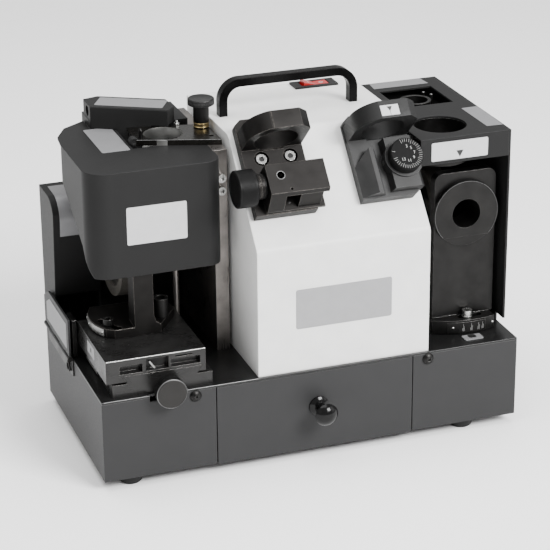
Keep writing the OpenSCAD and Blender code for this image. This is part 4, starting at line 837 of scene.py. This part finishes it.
def rear_dress():
    """Guessed at the back: the inlet's three blades and the domed screws of the base."""
    blades = [(323.5, 186.0, 38.0), (330.0, 186.0, 42.0), (336.5, 186.0, 38.0)]
    marks("inlet_blades", blades, [2.8 * Z] * 3, [0.7 * X] * 3, Y, bright_steel, "machine",
          thick=13.0)
    places = [(x, 202.0, z) for z in (68.0, 10.0) for x in (8.0, 200.0, 392.0)]
    domes("rear_screws", places, [Y] * 6, 3.0, matte_black, "machine", rise=0.7, steps=24)


def wheel_dress():
    """Metal discs in the recesses on both sides of each grinding wheel, each facing out of its recess."""
    for name, x, out in (("left_outer", 46.0, X), ("left_inner", 60.0, -X), ("right_outer", 351.0, X),
                         ("right_inner", 369.0, -X)):
        hollow_ring("wheel_disc_" + name, (x, 130.0, 170.0), out, 15.3, 34.6, 2.1, 2.6, wheel_metal, "rotor",
                    soft=0.1)


gauge_dress()
jaw_dress()
dial_face()
rear_dress()
wheel_dress()

# ---------------------------------------------------------------- floor, light and camera

# Lengths are metres in the row frame from here on.
FOCAL = 138.33                                 # millimetres
AZIMUTH, ELEVATION, ROLL = (math.radians(a) for a in (-19.288, 22.5, -0.541))
STAND = (-0.60263, -1.70929, 0.89720)


def add_camera():
    """Looks along azimuth and elevation, then rolls about its own axis."""
    level = math.cos(ELEVATION)
    back = Vector((math.sin(AZIMUTH) * level, -math.cos(AZIMUTH) * level, math.sin(ELEVATION)))
    right = Vector(Z).cross(back).normalized()
    up = back.cross(right)
    rolled_right = right * math.cos(ROLL) + up * math.sin(ROLL)
    rolled_up = up * math.cos(ROLL) - right * math.sin(ROLL)
    data = bpy.data.cameras.new("camera")
    data.lens = FOCAL
    camera = link_up("camera", data)
    camera.matrix_world = Matrix.Translation(STAND) @ Matrix((rolled_right, rolled_up, back)).transposed().to_4x4()
    bpy.context.scene.camera = camera


def add_light(name, place, target, size, power, colour=(1.0, 1.0, 1.0)):
    """A rectangular lamp at a place, aimed at a target; its power is in watts."""
    data = bpy.data.lights.new(name, "AREA")
    data.shape = "RECTANGLE"
    data.size, data.size_y = size
    data.energy = power
    data.color = colour
    aim = (Vector(target) - Vector(place)).to_track_quat("-Z", "Y").to_matrix().to_4x4()
    link_up(name, data).matrix_world = Matrix.Translation(place) @ aim


def add_floor():
    """A plain pale sheet, large enough to fill the view."""
    half = 6.0
    mesh = bpy.data.meshes.new("floor")
    mesh.from_pydata([(-half, -half, 0), (half, -half, 0), (half, half, 0), (-half, half, 0)], [], [(0, 1, 2, 3)])
    paper = Finish("floor paper", Roughness=0.9)
    tone = paper.level(paper.noise(3.0), 0.3, 0.7)
    paper.feed(Base_Color=paper.blend(tone, (0.96, 0.96, 0.96), (0.975, 0.975, 0.975)))
    mesh.materials.append(paper.material)
    link_up("floor", mesh)


def add_studio():
    """White surroundings, a wide lamp above, a strong one in front on the right and a weak one on each side."""
    world = bpy.data.worlds.new("studio")
    bpy.context.scene.world = world
    world.use_nodes = True
    surroundings = world.node_tree.nodes["Background"].inputs
    surroundings["Color"].default_value = (1.0, 1.0, 1.0, 1.0)
    surroundings["Strength"].default_value = 0.72
    add_light("overhead", (-0.3, 0.1, 2.2), (0, 0, 0.1), (2.4, 2.0), 62.0)
    add_light("front", (1.2, -2.3, 2.1), (0, 0, 0.15), (1.4, 1.2), 215.0)
    add_light("left", (-1.9, -1.2, 1.1), (0, 0, 0.15), (1.0, 1.2), 1.5, (1.0, 0.92, 0.85))
    add_light("right", (1.8, -0.9, 1.0), (0, 0, 0.15), (0.9, 1.4), 8.0)


add_floor()
add_studio()
add_camera()
